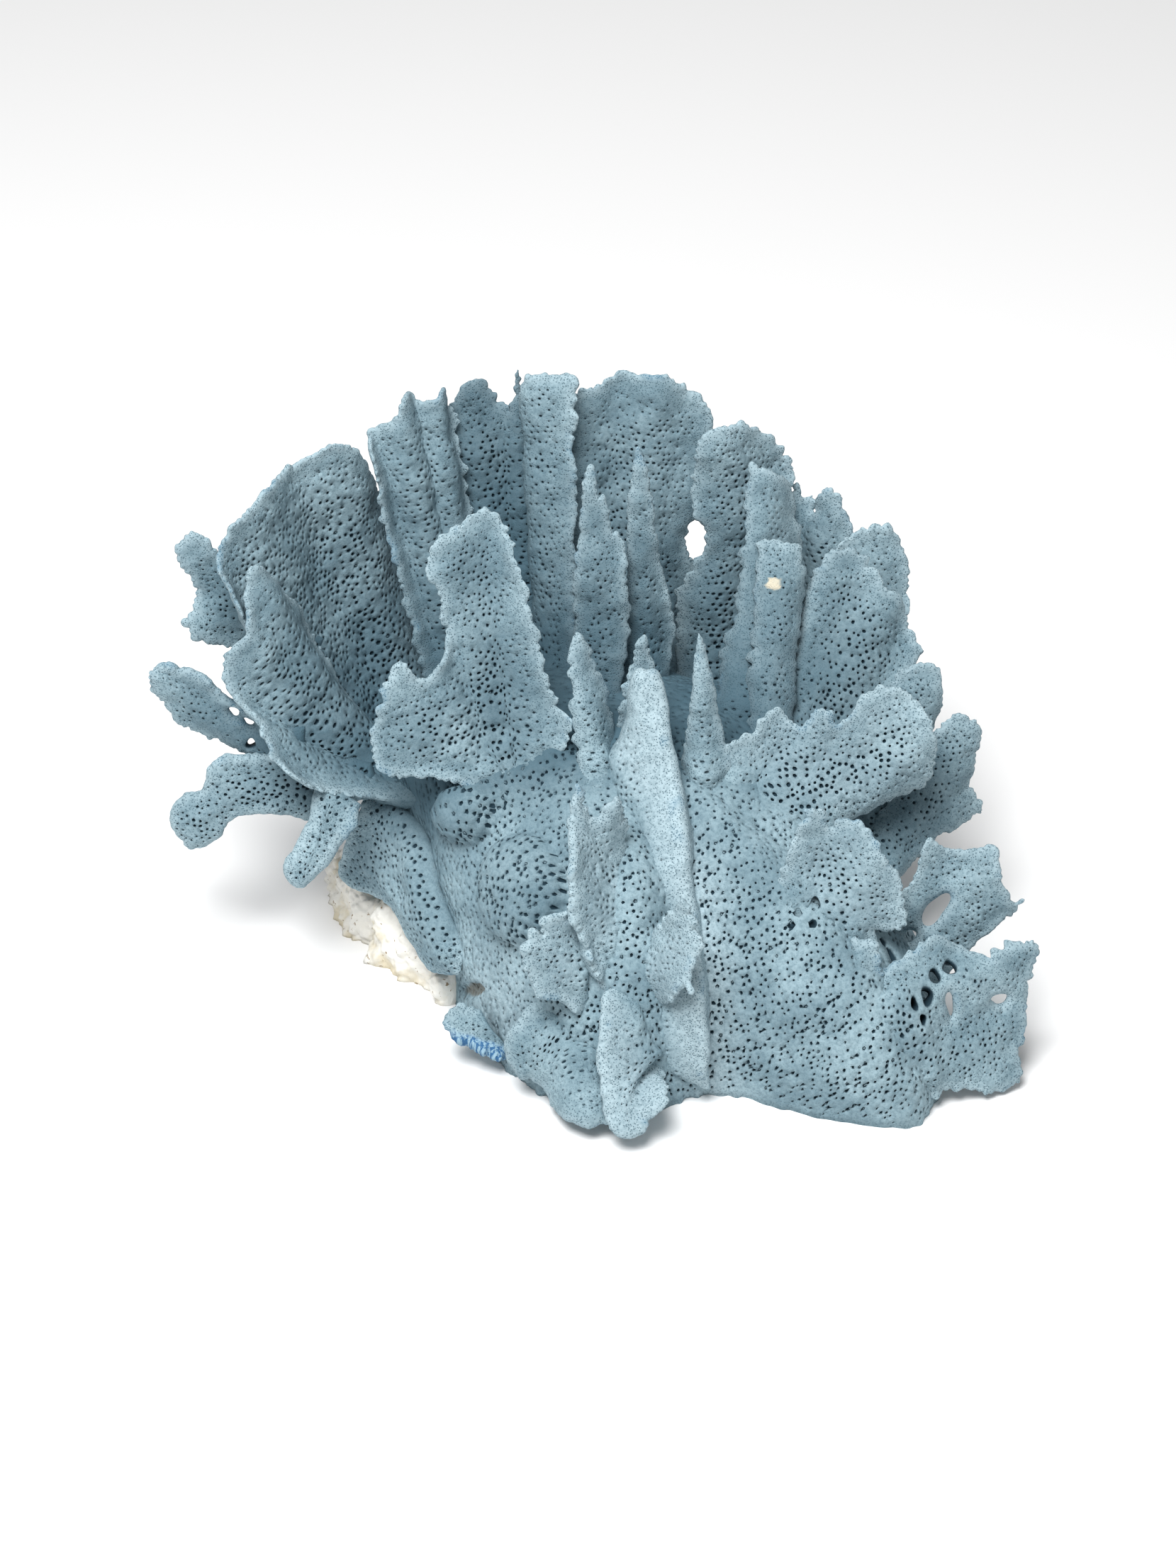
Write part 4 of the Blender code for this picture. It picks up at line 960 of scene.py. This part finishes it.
def foot_normals(bearing, share):
    """Unit normals of the foot, from small steps round it and down it."""
    share = np.clip(share, 0.02, 0.995)
    round_it = foot_points(bearing + 0.004, share) - foot_points(bearing - 0.004, share)
    down_it = foot_points(bearing, share + 0.004) - foot_points(bearing, share - 0.004)
    return unit(np.cross(down_it, round_it))


print("way down the foot, mm:", slope_length[:, -1].min().round(1), "to", WAYS[-1].round(1))

# %% Rows of pores down the foot
FOOT_PITCH = 1.8
FOOT_LEAST_GAP = 1.38
# The first row's way down the slope, and how far pores stray round the foot and down it.
FIRST_WAY = 6
STRAY_ROUND = 0.4
STRAY_DOWN = 0.36
# How near to the ground a pore may be, and a point between the pores.
PORE_TO_GROUND = 1.6
POINT_TO_GROUND = 1.3
# Behind this y the pores stand further apart: this share of them is left out.
BACK_STARTS = 15
BACK_LOSS = 0.38
foot_random = np.random.default_rng(7)


def thinned_behind(rows):
    """The rows that stay when some of those behind BACK_STARTS are left out."""
    kept = foot_random.uniform(0, 1, len(rows)) > BACK_LOSS
    return rows[kept | (foot_spots(rows)[:, 1] < BACK_STARTS)]


rows, fills = [], []
for number, way in enumerate(np.arange(FIRST_WAY, WAYS[-1], FOOT_PITCH * ROW_HEIGHT)):
    ring = foot_points(BEARINGS, foot_share(BEARINGS, np.full(len(BEARINGS), way)))
    along = np.append(0, np.cumsum(np.linalg.norm(np.diff(ring, axis=0), axis=1)))
    count = int(along[-1] / FOOT_PITCH)
    for shift, target in ((0.5 * (number % 2), rows), (0.5 * (number % 2) + 0.5, fills)):
        place = (np.arange(count) + shift) / count * along[-1]
        place = place + foot_random.uniform(-STRAY_ROUND, STRAY_ROUND, count) * FOOT_PITCH
        bearing = np.interp(place, along, BEARINGS)
        ways = way + foot_random.uniform(-STRAY_DOWN, STRAY_DOWN, count) * FOOT_PITCH
        if target is fills:
            ways = ways + FOOT_PITCH * CORNER_HEIGHT
        stretch = np.interp(place, along, np.gradient(along, BEARINGS))
        target.append(np.stack([bearing, ways, stretch], axis=1))
rows, fills = thinned_behind(np.vstack(rows)), thinned_behind(np.vstack(fills))
rows = rows[spaced(foot_spots(rows), FOOT_LEAST_GAP)]
rows = rows[to_the_ground(rows) > PORE_TO_GROUND]
fills = fills[to_the_ground(fills) > POINT_TO_GROUND]
print("spots for pores on the foot:", len(rows))

# %% [markdown]
# ### Pores of many sizes
# The foot's pores are not all alike: they are fuller in patches, widest on the round lumps and
# nearly gone on the low mound and at the ground. One size all over would look like a net. A few
# wide bores go deep.

# %% Size and depth of the foot's pores
FOOT_PORE_RADIUS = 0.64
WIDEST_FOOT_PORE = 0.7
FOOT_SIDES = 5
LOW_MOUND = (-22, -44, 18)
# Wide bores in the foot, deep and in painted shade: across and up as seen, and width.
FOOT_BORES = [(60.2, -36.4, 2.6), (58.4, -40.4, 2.4), (62.6, -39.8, 2.8), (82.7, -43.9, 3.0),
              (85.4, -47.6, 4.2)]
# A pore's depth in mm is half its fullness plus a half, and an ordinary pore's fullness is at most 1.
BORE_FULLNESS = 4.0


def in_oval(points, across, up, half_width, half_height):
    """1 in the middle of an oval as seen from the front, 0 on its line and less outside it."""
    away = (seen_from_front(points) - (across, up)) / (half_width, half_height)
    return 1 - (away**2).sum(axis=1)


def on_lumps(spots):
    """How much each spot is on one of the round lumps, by its place as seen, from 0 to 1."""
    share = np.zeros(len(spots))
    for *oval, _ in FOOT_LUMPS:
        share = np.maximum(share, ramp(in_oval(spots, *oval), -0.1, 0.35))
    return share * (spots[:, 1] < 0)


def on_map(bearing, way):
    """Bearing and way down the slope as x, y of the round map."""
    return np.stack([way * np.cos(bearing), way * np.sin(bearing)], axis=-1)


def foot_ring(spots, radius, seed):
    """A ring round each pore in true lengths, as x, y of the round map."""
    flat = rings(np.zeros((len(spots), 2)), radius, FOOT_SIDES, np.random.default_rng(seed))
    home = np.repeat(spots, FOOT_SIDES, axis=0)
    return on_map(home[:, 0] + flat[:, 0] / home[:, 2], home[:, 1] + flat[:, 1])


def foot_pores():
    """Which rows have a pore, and the radius and fullness of each."""
    spots = foot_spots(rows)
    fullness = 0.85 + 0.3 * soft_noise(on_map(rows[:, 0], rows[:, 1]), 14, 5)
    on_mound = np.exp(-(np.linalg.norm(spots - LOW_MOUND, axis=1) / 15) ** 2)
    fullness = np.clip(fullness - 0.5 * on_mound, 0.3, 1) * ramp(to_the_ground(rows), 0, 6)
    porous = (fullness > 0.15) & (foot_random.uniform(0.1, 0.6, len(rows)) < fullness)
    radius = FOOT_PORE_RADIUS * (0.5 + 0.5 * fullness)
    radius = radius * foot_random.uniform(0.72, 1.25, len(rows))
    radius = np.minimum(radius * (1 + 0.3 * on_lumps(spots)), WIDEST_FOOT_PORE)
    return porous, radius, fullness


def open_bores(porous, radius, fullness):
    """Make the pore nearest to each bore's place wide and deep, and clear what is round it.
    Returns which rows and which points between them stay as plain points."""
    seen_rows, seen_fills = seen_from_front(foot_spots(rows)), seen_from_front(foot_spots(fills))
    plain_rows, plain_fills = ~porous, np.ones(len(fills), bool)
    for across, up, wide in FOOT_BORES:
        away = np.linalg.norm(seen_rows - (across, up), axis=1) + 1000 * (rows[:, 0] > 0)
        here = away < wide / 2 + 0.9
        porous[here] = plain_rows[here] = False
        plain_fills &= np.linalg.norm(seen_fills - (across, up), axis=1) > wide / 2 + 0.6
        middle = away.argmin()
        porous[middle], radius[middle], fullness[middle] = True, wide / 2, BORE_FULLNESS
    return plain_rows, plain_fills


def foot_drawing(edge):
    """The foot's round map: its spots, its triangles, and how deep each spot is in a pore."""
    porous, radius, fullness = foot_pores()
    plain_rows, plain_fills = open_bores(porous, radius, fullness)
    outer = foot_ring(rows[porous], radius[porous], 8)
    inner = foot_ring(rows[porous], radius[porous] * PORE_FLOOR, 8)
    top = on_map(np.linspace(-3, 3, 6), np.linspace(1, 4, 6))
    filling = np.vstack([on_map(*fills[plain_fills, :2].T), on_map(*rows[plain_rows, :2].T), top])
    spots, triangles = triangulate(np.vstack([filling, outer, inner]), [edge])
    pit = np.zeros(len(spots))
    first = len(edge) + len(filling) + len(outer)
    pit[first:first + len(inner)] = np.repeat(0.5 + 0.5 * fullness[porous], FOOT_SIDES)
    return spots, triangles, pit


# %% [markdown]
# ### Skin and cut
# The drawing is laid on the mound and moved along its normals: out for the lumps, in for the
# pores. Below, a fan of flat triangles closes it, because such a specimen is cut flat to stand.

# %% Growing the foot
# Height, size and seed of the noise on the skin, and of that along its torn edge on the ground.
FOOT_WAVES = ((0.8, 11, 3), (0.35, 4.5, 4), (0.2, 2.4, 6))
TORN_EDGE = ((1.1, 3.6, 31), (0.7, 1.6, 32))
# The brown pocket above the crust: across and up as seen, half width and half height.
POCKET = (-33.0, -58.3, 3.6, 2.3)
POCKET_DEPTH = 2.0
# A crest down the front gets painted light, lighter as if lit: it passes x, y, leans by so much, and
# is so wide.
PAINTED_LIGHT_CREST = (28, -40, 0.3, 7)


def foot_skin(spots, edge, pit, to_ground):
    """Points of the skin, how much each is in the pocket, and how much it is on a lump."""
    bearing, way = np.arctan2(spots[:, 1], spots[:, 0]), np.linalg.norm(spots, axis=1)
    share = foot_share(bearing, way)
    share[:len(edge)] = 1
    points = foot_points(bearing, share)
    in_front = points[:, 1] < 0
    lumps = np.zeros(len(points))
    for *oval, lump in FOOT_LUMPS:
        lumps = np.maximum(lumps, lump * np.clip(in_oval(points, *oval), 0, 1) ** 0.35)
    pocket = np.clip(in_oval(points, *POCKET), 0, 1) ** 0.4 * in_front
    on_lump = on_lumps(points)
    relief = layered(points, FOOT_WAVES) * ramp(to_ground, 0, 5)
    relief = relief + lumps * in_front - POCKET_DEPTH * pocket
    points = points + foot_normals(bearing, share) * (relief - pit * PORE_DEPTH)[:, None]
    outward = np.stack([np.cos(bearing), np.sin(bearing)], axis=1)
    torn = layered(outward * 90, TORN_EDGE) * np.exp(-to_ground / 2.5)
    points[:, :2] += outward * torn[:, None]
    points[:, 2] = np.maximum(points[:, 2], 0)
    points[:len(edge), 2] = 0
    return points, pocket, on_lump


def close_below(points, triangles, spots, number):
    """Close the foot with a fan from the middle of its edge, which is the first points. Returns
    the points, the faces, and their map with the cut laid beside the skin."""
    cut = points[:number, :2]
    with_middle = np.vstack([cut, cut.mean(axis=0)])
    step = np.arange(number)
    fan = np.stack([np.full(number, number), np.roll(step, -1), step], axis=1)
    flat_cut = with_middle + (spots[:, 0].max() - cut[:, 0].min() + 5, 0)
    drawing = np.concatenate([spots[triangles], flat_cut[fan]]).reshape(-1, 2)
    fan[:, 0] = len(points)
    points = np.vstack([points, [*with_middle[-1], 0]])
    return points, np.concatenate([triangles, fan]), drawing


def grow_foot():
    """The foot: a pored skin over the mound and a flat cut below it."""
    edge = on_map(BEARINGS[:-1], slope_length[:-1, -1])
    edge = edge[np.append(True, np.linalg.norm(np.diff(edge, axis=0), axis=1) > 0.2)]
    spots, triangles, pit = foot_drawing(edge)
    to_ground = nearest(spots, edge)
    points, pocket, on_lump = foot_skin(spots, edge, pit, to_ground)
    points, faces, drawing = close_below(points, triangles, spots, len(edge))

    x, y, z = points.T
    # Painted shade: darker in the valley behind the ridge near the top; darker on the round lumps too
    painted_shade_and_lump_tone = np.maximum(ramp(y, -24, -4) * ramp(z, 35, 60), 0.35 * np.append(on_lump, 0))
    # Painted light: lighter along the crest down the front and on the low mound in front
    crest_x, crest_y, lean, width = PAINTED_LIGHT_CREST
    painted_crest_light = np.exp(-((x - crest_x + lean * (y - crest_y)) / width) ** 2) * ramp(-y, 20, 40)
    mound = np.exp(-(np.linalg.norm(points - LOW_MOUND, axis=1) / 17) ** 2)
    facts = {"pore": np.append(pit, 0), "rim": np.append(to_ground + 5, 12), "painted_shade_and_lump_tone": painted_shade_and_lump_tone,
             "painted_light": np.maximum(painted_crest_light, 0.7 * mound), "stain": np.append(pocket, 0)}
    return make_piece("pored_foot_mound", points, faces, facts, drawing)


pieces["foot_mound"] = grow_foot()

# %% [markdown]
# ## The white crust
# Under the lower left edge the coral still holds some of the ground that it grew on: a rough white
# crust of worm tubes and lime. It is a bank that follows the foot's edge: a half-round profile
# carried along a path and broken up by noise of three sizes, which gives its crags.

# %% Growing the crust
CRUST_PATH = [(-71, 40), (-65, 18), (-56, 7), (-46.5, -5), (-38, -21)]
CRUST_HALF_WIDTH = 9.0
CRUST_HEIGHT = 18.0
CRUST_STEPS = (240, 110)


def grow_crust():
    """The crust: radius times cosine and sine of the angle over the path, plus craggy noise."""
    lengths, around = CRUST_STEPS
    along = np.linspace(0, 1, lengths + 1)
    path = smooth_line(CRUST_PATH, along)
    ahead = unit(np.gradient(path, axis=0))
    outward = np.stack([ahead[:, 1], -ahead[:, 0]], axis=1)
    angle = np.linspace(0, math.pi, around + 1)
    size = 0.35 + 0.65 * np.clip(4 * along * (1 - along), 0, 1) ** 0.35
    size = size * (1 + 0.16 * np.sin(11 * along + 1) + 0.1 * np.sin(27 * along))
    across = size[:, None] * CRUST_HALF_WIDTH * np.cos(angle)
    height = size[:, None] * CRUST_HEIGHT * np.sin(angle) ** 0.8
    plan = path[:, None, :] + outward[:, None, :] * across[..., None]
    points = np.concatenate([plan, height[..., None]], axis=2)
    upright = np.sin(angle)[None, :, None] + 0 * across[..., None]
    out = np.concatenate([outward[:, None, :] * np.cos(angle)[:, None], upright], axis=2)
    crags = 2.2 * soft_noise(points, 7, 21) + 1.6 * np.abs(soft_noise(points, 3.4, 22)) - 0.8
    crags = crags + 0.5 * soft_noise(points, 1.3, 23)
    points = points + out * crags[..., None]
    points[..., 2] = np.maximum(points[..., 2], 0)
    points[:, [0, -1], 2] = 0
    ring = around + 1
    here = np.arange(lengths)[:, None] * ring + np.arange(ring)
    after = np.arange(lengths)[:, None] * ring + (np.arange(ring) + 1) % ring
    quads = np.stack([here, after, after + ring, here + ring], axis=-1).reshape(-1, 4)
    middle = (lengths + 1) * ring
    start = np.arange(ring)
    caps = np.concatenate([
        np.stack([(start + 1) % ring, start, np.full(ring, middle)], axis=1),
        np.stack([start, (start + 1) % ring, np.full(ring, middle + 1 - lengths * ring)], axis=1)
        + lengths * ring])
    faces = np.concatenate([quads[:, :3], quads[:, [0, 2, 3]], caps])
    ends = points[[0, -1]].mean(axis=1)
    flat = np.stack(np.meshgrid(along * 90, angle * 12, indexing="ij"), axis=-1)
    flat = np.vstack([flat.reshape(-1, 2), [[-3, 18], [93, 18]]])
    under = np.isin(faces % ring, [0, around]).sum(axis=1) == 3
    drawing = flat[faces]
    drawing[under] += (0, 45)
    points = np.vstack([points.reshape(-1, 3), ends])
    facts = {"height": points[:, 2]}
    return make_piece("craggy_white_crust", points, faces, facts, drawing.reshape(-1, 2))


pieces["white_crust"] = grow_crust()

# %% [markdown]
# ## The broken flap
# At the lower left a flap has snapped off. Its break shows what blue coral is inside: upright
# fibres of a vivid blue. It is grown like a plate, only thicker and with no pores at its edge.

# %% Growing the broken flap
BROKEN_EDGE = with_usual(dict(
    root=[(-30, -44, 16), (-26, -48, 10), (-22, -52, 4)],
    rim=[(-38, -62, -44), (-41, -67, -46), (-38, -72, -50), (-30, -75.5, -54), (-22, -77, -55)],
    thick=(8, 6), blunt=0.15))
pieces["broken_edge"] = grow_plate("pored_broken_edge", BROKEN_EDGE, 60)

# %% [markdown]
# ## The apron over the crust
# Above the crust the foot's skin stands off as a pored apron that faces the front, and its lower
# edge is the clean line between blue and white. The foot's map would stretch too much there, so
# the apron is one more plate, its root sunk in the foot. It belongs to the foot.

# %% Growing the apron
FOOT_APRON = with_usual(dict(
    root=[(-60, 14, 53), (-46, -2, 47), (-41, -16, 36), (-34, -28, 24)],
    rim=[(-66, -8, 4), (-69, -18, 6), (-70.4, -25, 9), (-66, -28.8, 8), (-60.4, -32.2, 1),
         (-55, -35.6, -6), (-49, -46, -17), (-44.2, -52.6, -26), (-36, -54, -31)],
    bow=(-2, -3, 1), thick=(8, 3.5), teeth=0.3, bare=-3.0))
pieces["foot_apron"] = grow_plate("pored_foot_apron", FOOT_APRON, 61)

# %% [markdown]
# ## Shader maths in plain Python
# A material is a graph of nodes. Drawn by hand it is quick to tweak and slow to read, so here a
# small class wraps a socket, and arithmetic on it adds the Math nodes.

# %% A wire between nodes
class Wire:
    """An output socket in a material's node tree. Arithmetic on it adds Math nodes."""

    def __init__(self, tree, socket=None):
        self.tree = tree
        self.socket = socket

    def node(self, kind, settings=None, values=None, out=0):
        """Add a node: its settings first, then the values or wires of its sockets."""
        made = self.tree.nodes.new(kind)
        for setting, value in (settings or {}).items():
            setattr(made, setting, value)
        for place, value in (values or {}).items():
            if isinstance(value, Wire):
                self.tree.links.new(value.socket, made.inputs[place])
            else:
                made.inputs[place].default_value = value
        return Wire(self.tree, made.outputs[out])

    def maths(self, operation, first, second):
        """A Math node on two values or wires."""
        return self.node("ShaderNodeMath", {"operation": operation}, {0: first, 1: second})

    def __add__(self, other):
        return self.maths("ADD", self, other)

    __radd__ = __add__

    def __sub__(self, other):
        return self.maths("SUBTRACT", self, other)

    def __rsub__(self, other):
        return self.maths("SUBTRACT", other, self)

    def __mul__(self, other):
        return self.maths("MULTIPLY", self, other)

    __rmul__ = __mul__

    def step(self, low, high):
        """0 below low, 1 above high, and a smooth step in between."""
        settings = {"interpolation_type": "SMOOTHSTEP"}
        values = {0: self, 1: low, 2: high, 3: 0.0, 4: 1.0}
        return self.node("ShaderNodeMapRange", settings, values)

    def mix(self, first, second):
        """A colour between two, with this wire as the share of the second."""
        values = {0: self, 6: first, 7: second}
        return self.node("ShaderNodeMix", {"data_type": "RGBA"}, values, out=2)

    def noise(self, scale, detail):
        """Noise from 0 to 1 over this wire's place, with about scale waves to a metre."""
        values = {"Vector": self, "Scale": scale, "Detail": detail}
        return self.node("ShaderNodeTexNoise", None, values)

    def fact(self, name):
        """A piece's attribute: what each of its points knows about itself."""
        return self.node("ShaderNodeAttribute", {"attribute_name": name}, out=2)


def new_material(name, roughness, specular):
    """A material with one Principled shader. Returns it, the shader and a wire to start from."""
    material = bpy.data.materials.new(name)
    material.use_nodes = True
    shader = material.node_tree.nodes["Principled BSDF"]
    shader.inputs["Roughness"].default_value = roughness
    shader.inputs["Specular IOR Level"].default_value = specular
    return material, shader, Wire(material.node_tree)


def cover(shader, colour, height, strength, distance):
    """Give a shader its colour, and a bump from height that is at most distance metres high."""
    values = {"Strength": strength, "Distance": distance, "Height": height}
    bump = colour.node("ShaderNodeBump", None, values)
    colour.tree.links.new(colour.socket, shader.inputs["Base Color"])
    colour.tree.links.new(bump.socket, shader.inputs["Normal"])


# %% [markdown]
# ## The finish of blue coral
# Dry blue coral is matt and chalky: blue-grey, with a fine grain of micro-pores and small saturated
# blue patches along the rims. Light and shade are painted on as well: painted light makes the front
# pieces and crests paler, painted shade makes the hollows and the plates behind darker teal, and the
# pores nearly black teal. One texture over everything would miss that. So the large tones come from
# noise on the object's own coordinates, and the rest from what each point knows about itself, such
# as how deep it is in a pore and how far it is from the rim.

# %% Blue coral
PALE = (0.29, 0.405, 0.455, 1)
BASE = (0.18, 0.27, 0.315, 1)
# Painted light for the front pieces and crests; it also lightens the rims
PAINTED_LIGHT_AND_RIM_TONE = (0.42, 0.54, 0.59, 1)
RECESS = (0.055, 0.115, 0.15, 1)
# Painted shade for the hollows and the plates behind; the lumps take it too
PAINTED_SHADE_AND_LUMP_COLOUR = (0.035, 0.08, 0.11, 1)
# Painted shade inside the pores and bores, over their real depth
PAINTED_PORE_SHADE = (0.014, 0.036, 0.052, 1)
RIM_BLUE = (0.055, 0.18, 0.29, 1)
VIVID = (0.025, 0.11, 0.25, 1)
FIBRE_PALE = (0.27, 0.42, 0.52, 1)
STAIN = (0.13, 0.115, 0.085, 1)
CRUMB = (0.66, 0.6, 0.46, 1)
# How fine each pattern is, in waves or cells to a metre.
CLOUDS = 60.0
BLUE_PATCHES = 95.0
FINE_GRAIN = 900.0
MICRO_PORES = 1700.0
FIBRES = 1300.0
# Noise is drawn out upwards into fibres, which fade out between these heights in metres.
FIBRE_STRETCH = (1.0, 1.0, 0.12)
FIBRE_TOP = (0.011, 0.014)


def coral_material(name, rim_blue, fibres=0.0):
    """Blue coral. rim_blue is how much saturated blue its rims have, and fibres how much of the
    lower rim shows upright fibres of a vivid blue."""
    material, shader, start = new_material(name, roughness=0.85, specular=0.25)
    place = start.node("ShaderNodeTexCoord", out=3)
    pore, rim, painted_shade_and_lump_tone = start.fact("pore"), start.fact("rim"), start.fact("painted_shade_and_lump_tone")
    painted_light, stain, crumb = start.fact("painted_light"), start.fact("stain"), start.fact("crumb")
    cloud, fine = place.noise(CLOUDS, 4.0), place.noise(FINE_GRAIN, 3.0)
    cells = start.node("ShaderNodeTexVoronoi", None, {"Vector": place, "Scale": MICRO_PORES})
    grain = (1 - cells.step(0.12, 0.45)) * (0.3 + 0.7 * (1 - rim.step(1.0, 10.0)))
    tone = cloud.step(0.35, 0.68).mix(BASE, PALE)
    # Painted light: the front pieces and the crests are painted lighter
    tone = (painted_light * 0.75).mix(tone, PAINTED_LIGHT_AND_RIM_TONE)
    # Lighter within 3.5 mm of the rim
    tone = ((1 - rim.step(0.0, 3.5)) * 0.5).mix(tone, PAINTED_LIGHT_AND_RIM_TONE)
    # Painted shade: darker teal in the hollows and on the plates behind, and darker on the lumps
    tone = (painted_shade_and_lump_tone * 0.85).mix(tone, PAINTED_SHADE_AND_LUMP_COLOUR)
    tone = (fine.step(0.35, 0.75) * 0.4).mix(tone, RECESS)
    tone = (grain * 0.85).mix(tone, RECESS)
    patches = place.noise(BLUE_PATCHES, 3.0)
    blue = patches.step(0.55, 0.68) * (1 - rim.step(0.2, 2.4)) * (0.35 + 0.65 * grain) * rim_blue
    tone = blue.mix(tone, RIM_BLUE)
    if fibres:
        stretch = {0: place, 1: FIBRE_STRETCH}
        upright = start.node("ShaderNodeVectorMath", {"operation": "MULTIPLY"}, stretch)
        vivid = upright.noise(FIBRES, 2.0).step(0.42, 0.6).mix(VIVID, FIBRE_PALE)
        height = start.node("ShaderNodeSeparateXYZ", None, {0: place}, out=2)
        torn = (1 - rim.step(1.6, 3.0)) * (1 - height.step(*FIBRE_TOP)) * fibres
        tone = torn.mix(tone, vivid)
    # Painted shade: the pores' walls and floors darken with their depth
    tone = pore.step(0.0, 0.9).mix(tone, PAINTED_PORE_SHADE)
    tone = (stain.step(0.3, 0.8) * (0.5 + 0.5 * fine)).mix(tone, STAIN)
    tone = (crumb.step(0.2, 0.8) * (0.6 + 0.5 * fine)).mix(tone, CRUMB)
    cover(shader, tone, fine * 0.5 - grain * 1.2, strength=0.55, distance=0.00025)
    return material


blue_coral = coral_material("blue_coral", 0.7)
broken_coral = coral_material("broken_blue_coral", 1.0, fibres=0.95)
print("materials:", blue_coral.name, broken_coral.name)

# %% [markdown]
# ## The finish of the crust
# Lime crust is chalk white with cream clouds and tan specks, and a little creamier near the ground.
# Two noises give clouds and specks, and a step between two values makes the specks crisp.

# %% White crust
CHALK = (0.8, 0.79, 0.74, 1)
CREAM = (0.66, 0.6, 0.46, 1)
TAN = (0.3, 0.22, 0.14, 1)
CRUST_CLOUDS = 120.0
SPECKS = 700.0


def crust_material():
    """Chalk white with cream clouds and tan specks, and more cream towards the ground."""
    material, shader, start = new_material("chalky_crust", roughness=0.9, specular=0.2)
    place = start.node("ShaderNodeTexCoord", out=3)
    cloud, speck = place.noise(CRUST_CLOUDS, 5.0), place.noise(SPECKS, 2.0)
    low = (1 - start.fact("height").step(1.0, 7.0)) * 0.15
    tone = (cloud + low).step(0.5, 0.75).mix(CHALK, CREAM)
    tone = speck.step(0.65, 0.73).mix(tone, TAN)
    cover(shader, tone, cloud + speck, strength=0.6, distance=0.0004)
    return material


white_crust = crust_material()
print("material:", white_crust.name)

# %% [markdown]
# ## Dressing the part
# Every fine piece rides on the part's one body, stands for its solid and gets its material.
# The apron has no solid of its own, so it stands for the foot together with the foot's own piece.

# %% Ride, replace, finish
FINISHES = {"white_crust": (white_crust, "white_crust"), "broken_edge": (broken_coral, "broken_blue")}
for name, piece in pieces.items():
    material, slot = FINISHES.get(name, (blue_coral, "blue_skeleton"))
    piece.data.materials.append(material)
    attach(piece, "root")
    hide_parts("foot_mound" if name == "foot_apron" else name)
total = sum(len(piece.data.polygons) for piece in pieces.values())
print("pieces:", len(pieces), "triangles:", total)

# %% [markdown]
# ## Studio
# A plain pale floor, one large soft lamp above and in front, and a light-grey sky for the shadows.
# A large lamp is chosen because its shadows have soft edges, and the sky fills the hollows.

# %% Floor, lamp and sky
FLOOR_CORNERS = [(-6, -6, 0), (6, -6, 0), (6, 6, 0), (-6, 6, 0)]
FLOOR_COLOUR = (0.9, 0.9, 0.9, 1)
KEY_PLACE = (-0.25, -0.5, 1.28)
KEY_AIM = (0, 0, 0.06)
KEY_SIZE = 0.7
KEY_POWER = 26
SKY_STRENGTH = 0.36

floor_mesh = bpy.data.meshes.new("studio_floor")
floor_mesh.from_pydata(FLOOR_CORNERS, [], [(0, 1, 2, 3)])
floor_material, floor_shader, _ = new_material("pale_floor", roughness=0.9, specular=0.1)
floor_shader.inputs["Base Color"].default_value = FLOOR_COLOUR
floor_mesh.materials.append(floor_material)
add_object("studio_floor", floor_mesh)

light = bpy.data.lights.new("key_lamp", "AREA")
light.size = KEY_SIZE
light.energy = KEY_POWER
lamp = add_object("key_lamp", light)
lamp.location = KEY_PLACE
lamp.rotation_euler = (Vector(KEY_AIM) - Vector(KEY_PLACE)).to_track_quat("-Z", "Y").to_euler()

world = bpy.data.worlds.new("studio_sky")
world.use_nodes = True
world.node_tree.nodes["Background"].inputs["Color"].default_value = (1, 1, 1, 1)
world.node_tree.nodes["Background"].inputs["Strength"].default_value = SKY_STRENGTH
bpy.context.scene.world = world
print("key lamp at", KEY_PLACE, "watts:", light.energy)

# %% [markdown]
# ## Camera
# The camera stands where the lines of sight of the plates' rims start, so that each rim falls on
# the picture where it was typed. Standard view keeps the pale ground from turning grey.

# %% Camera
SENSOR_WIDTH = 36
WIDTH_IN_VIEW = 442.4

camera_data = bpy.data.cameras.new("front_camera")
camera_data.sensor_width = SENSOR_WIDTH
camera_data.lens = SENSOR_WIDTH * VIEW_REACH / WIDTH_IN_VIEW
camera = add_object("front_camera", camera_data)
camera.location = EYE * MM
camera.rotation_euler = (math.pi / 2 - VIEW_TILT, 0, 0)
bpy.context.scene.camera = camera
bpy.context.scene.view_settings.view_transform = "Standard"
print("camera at", np.round(EYE * MM, 3))
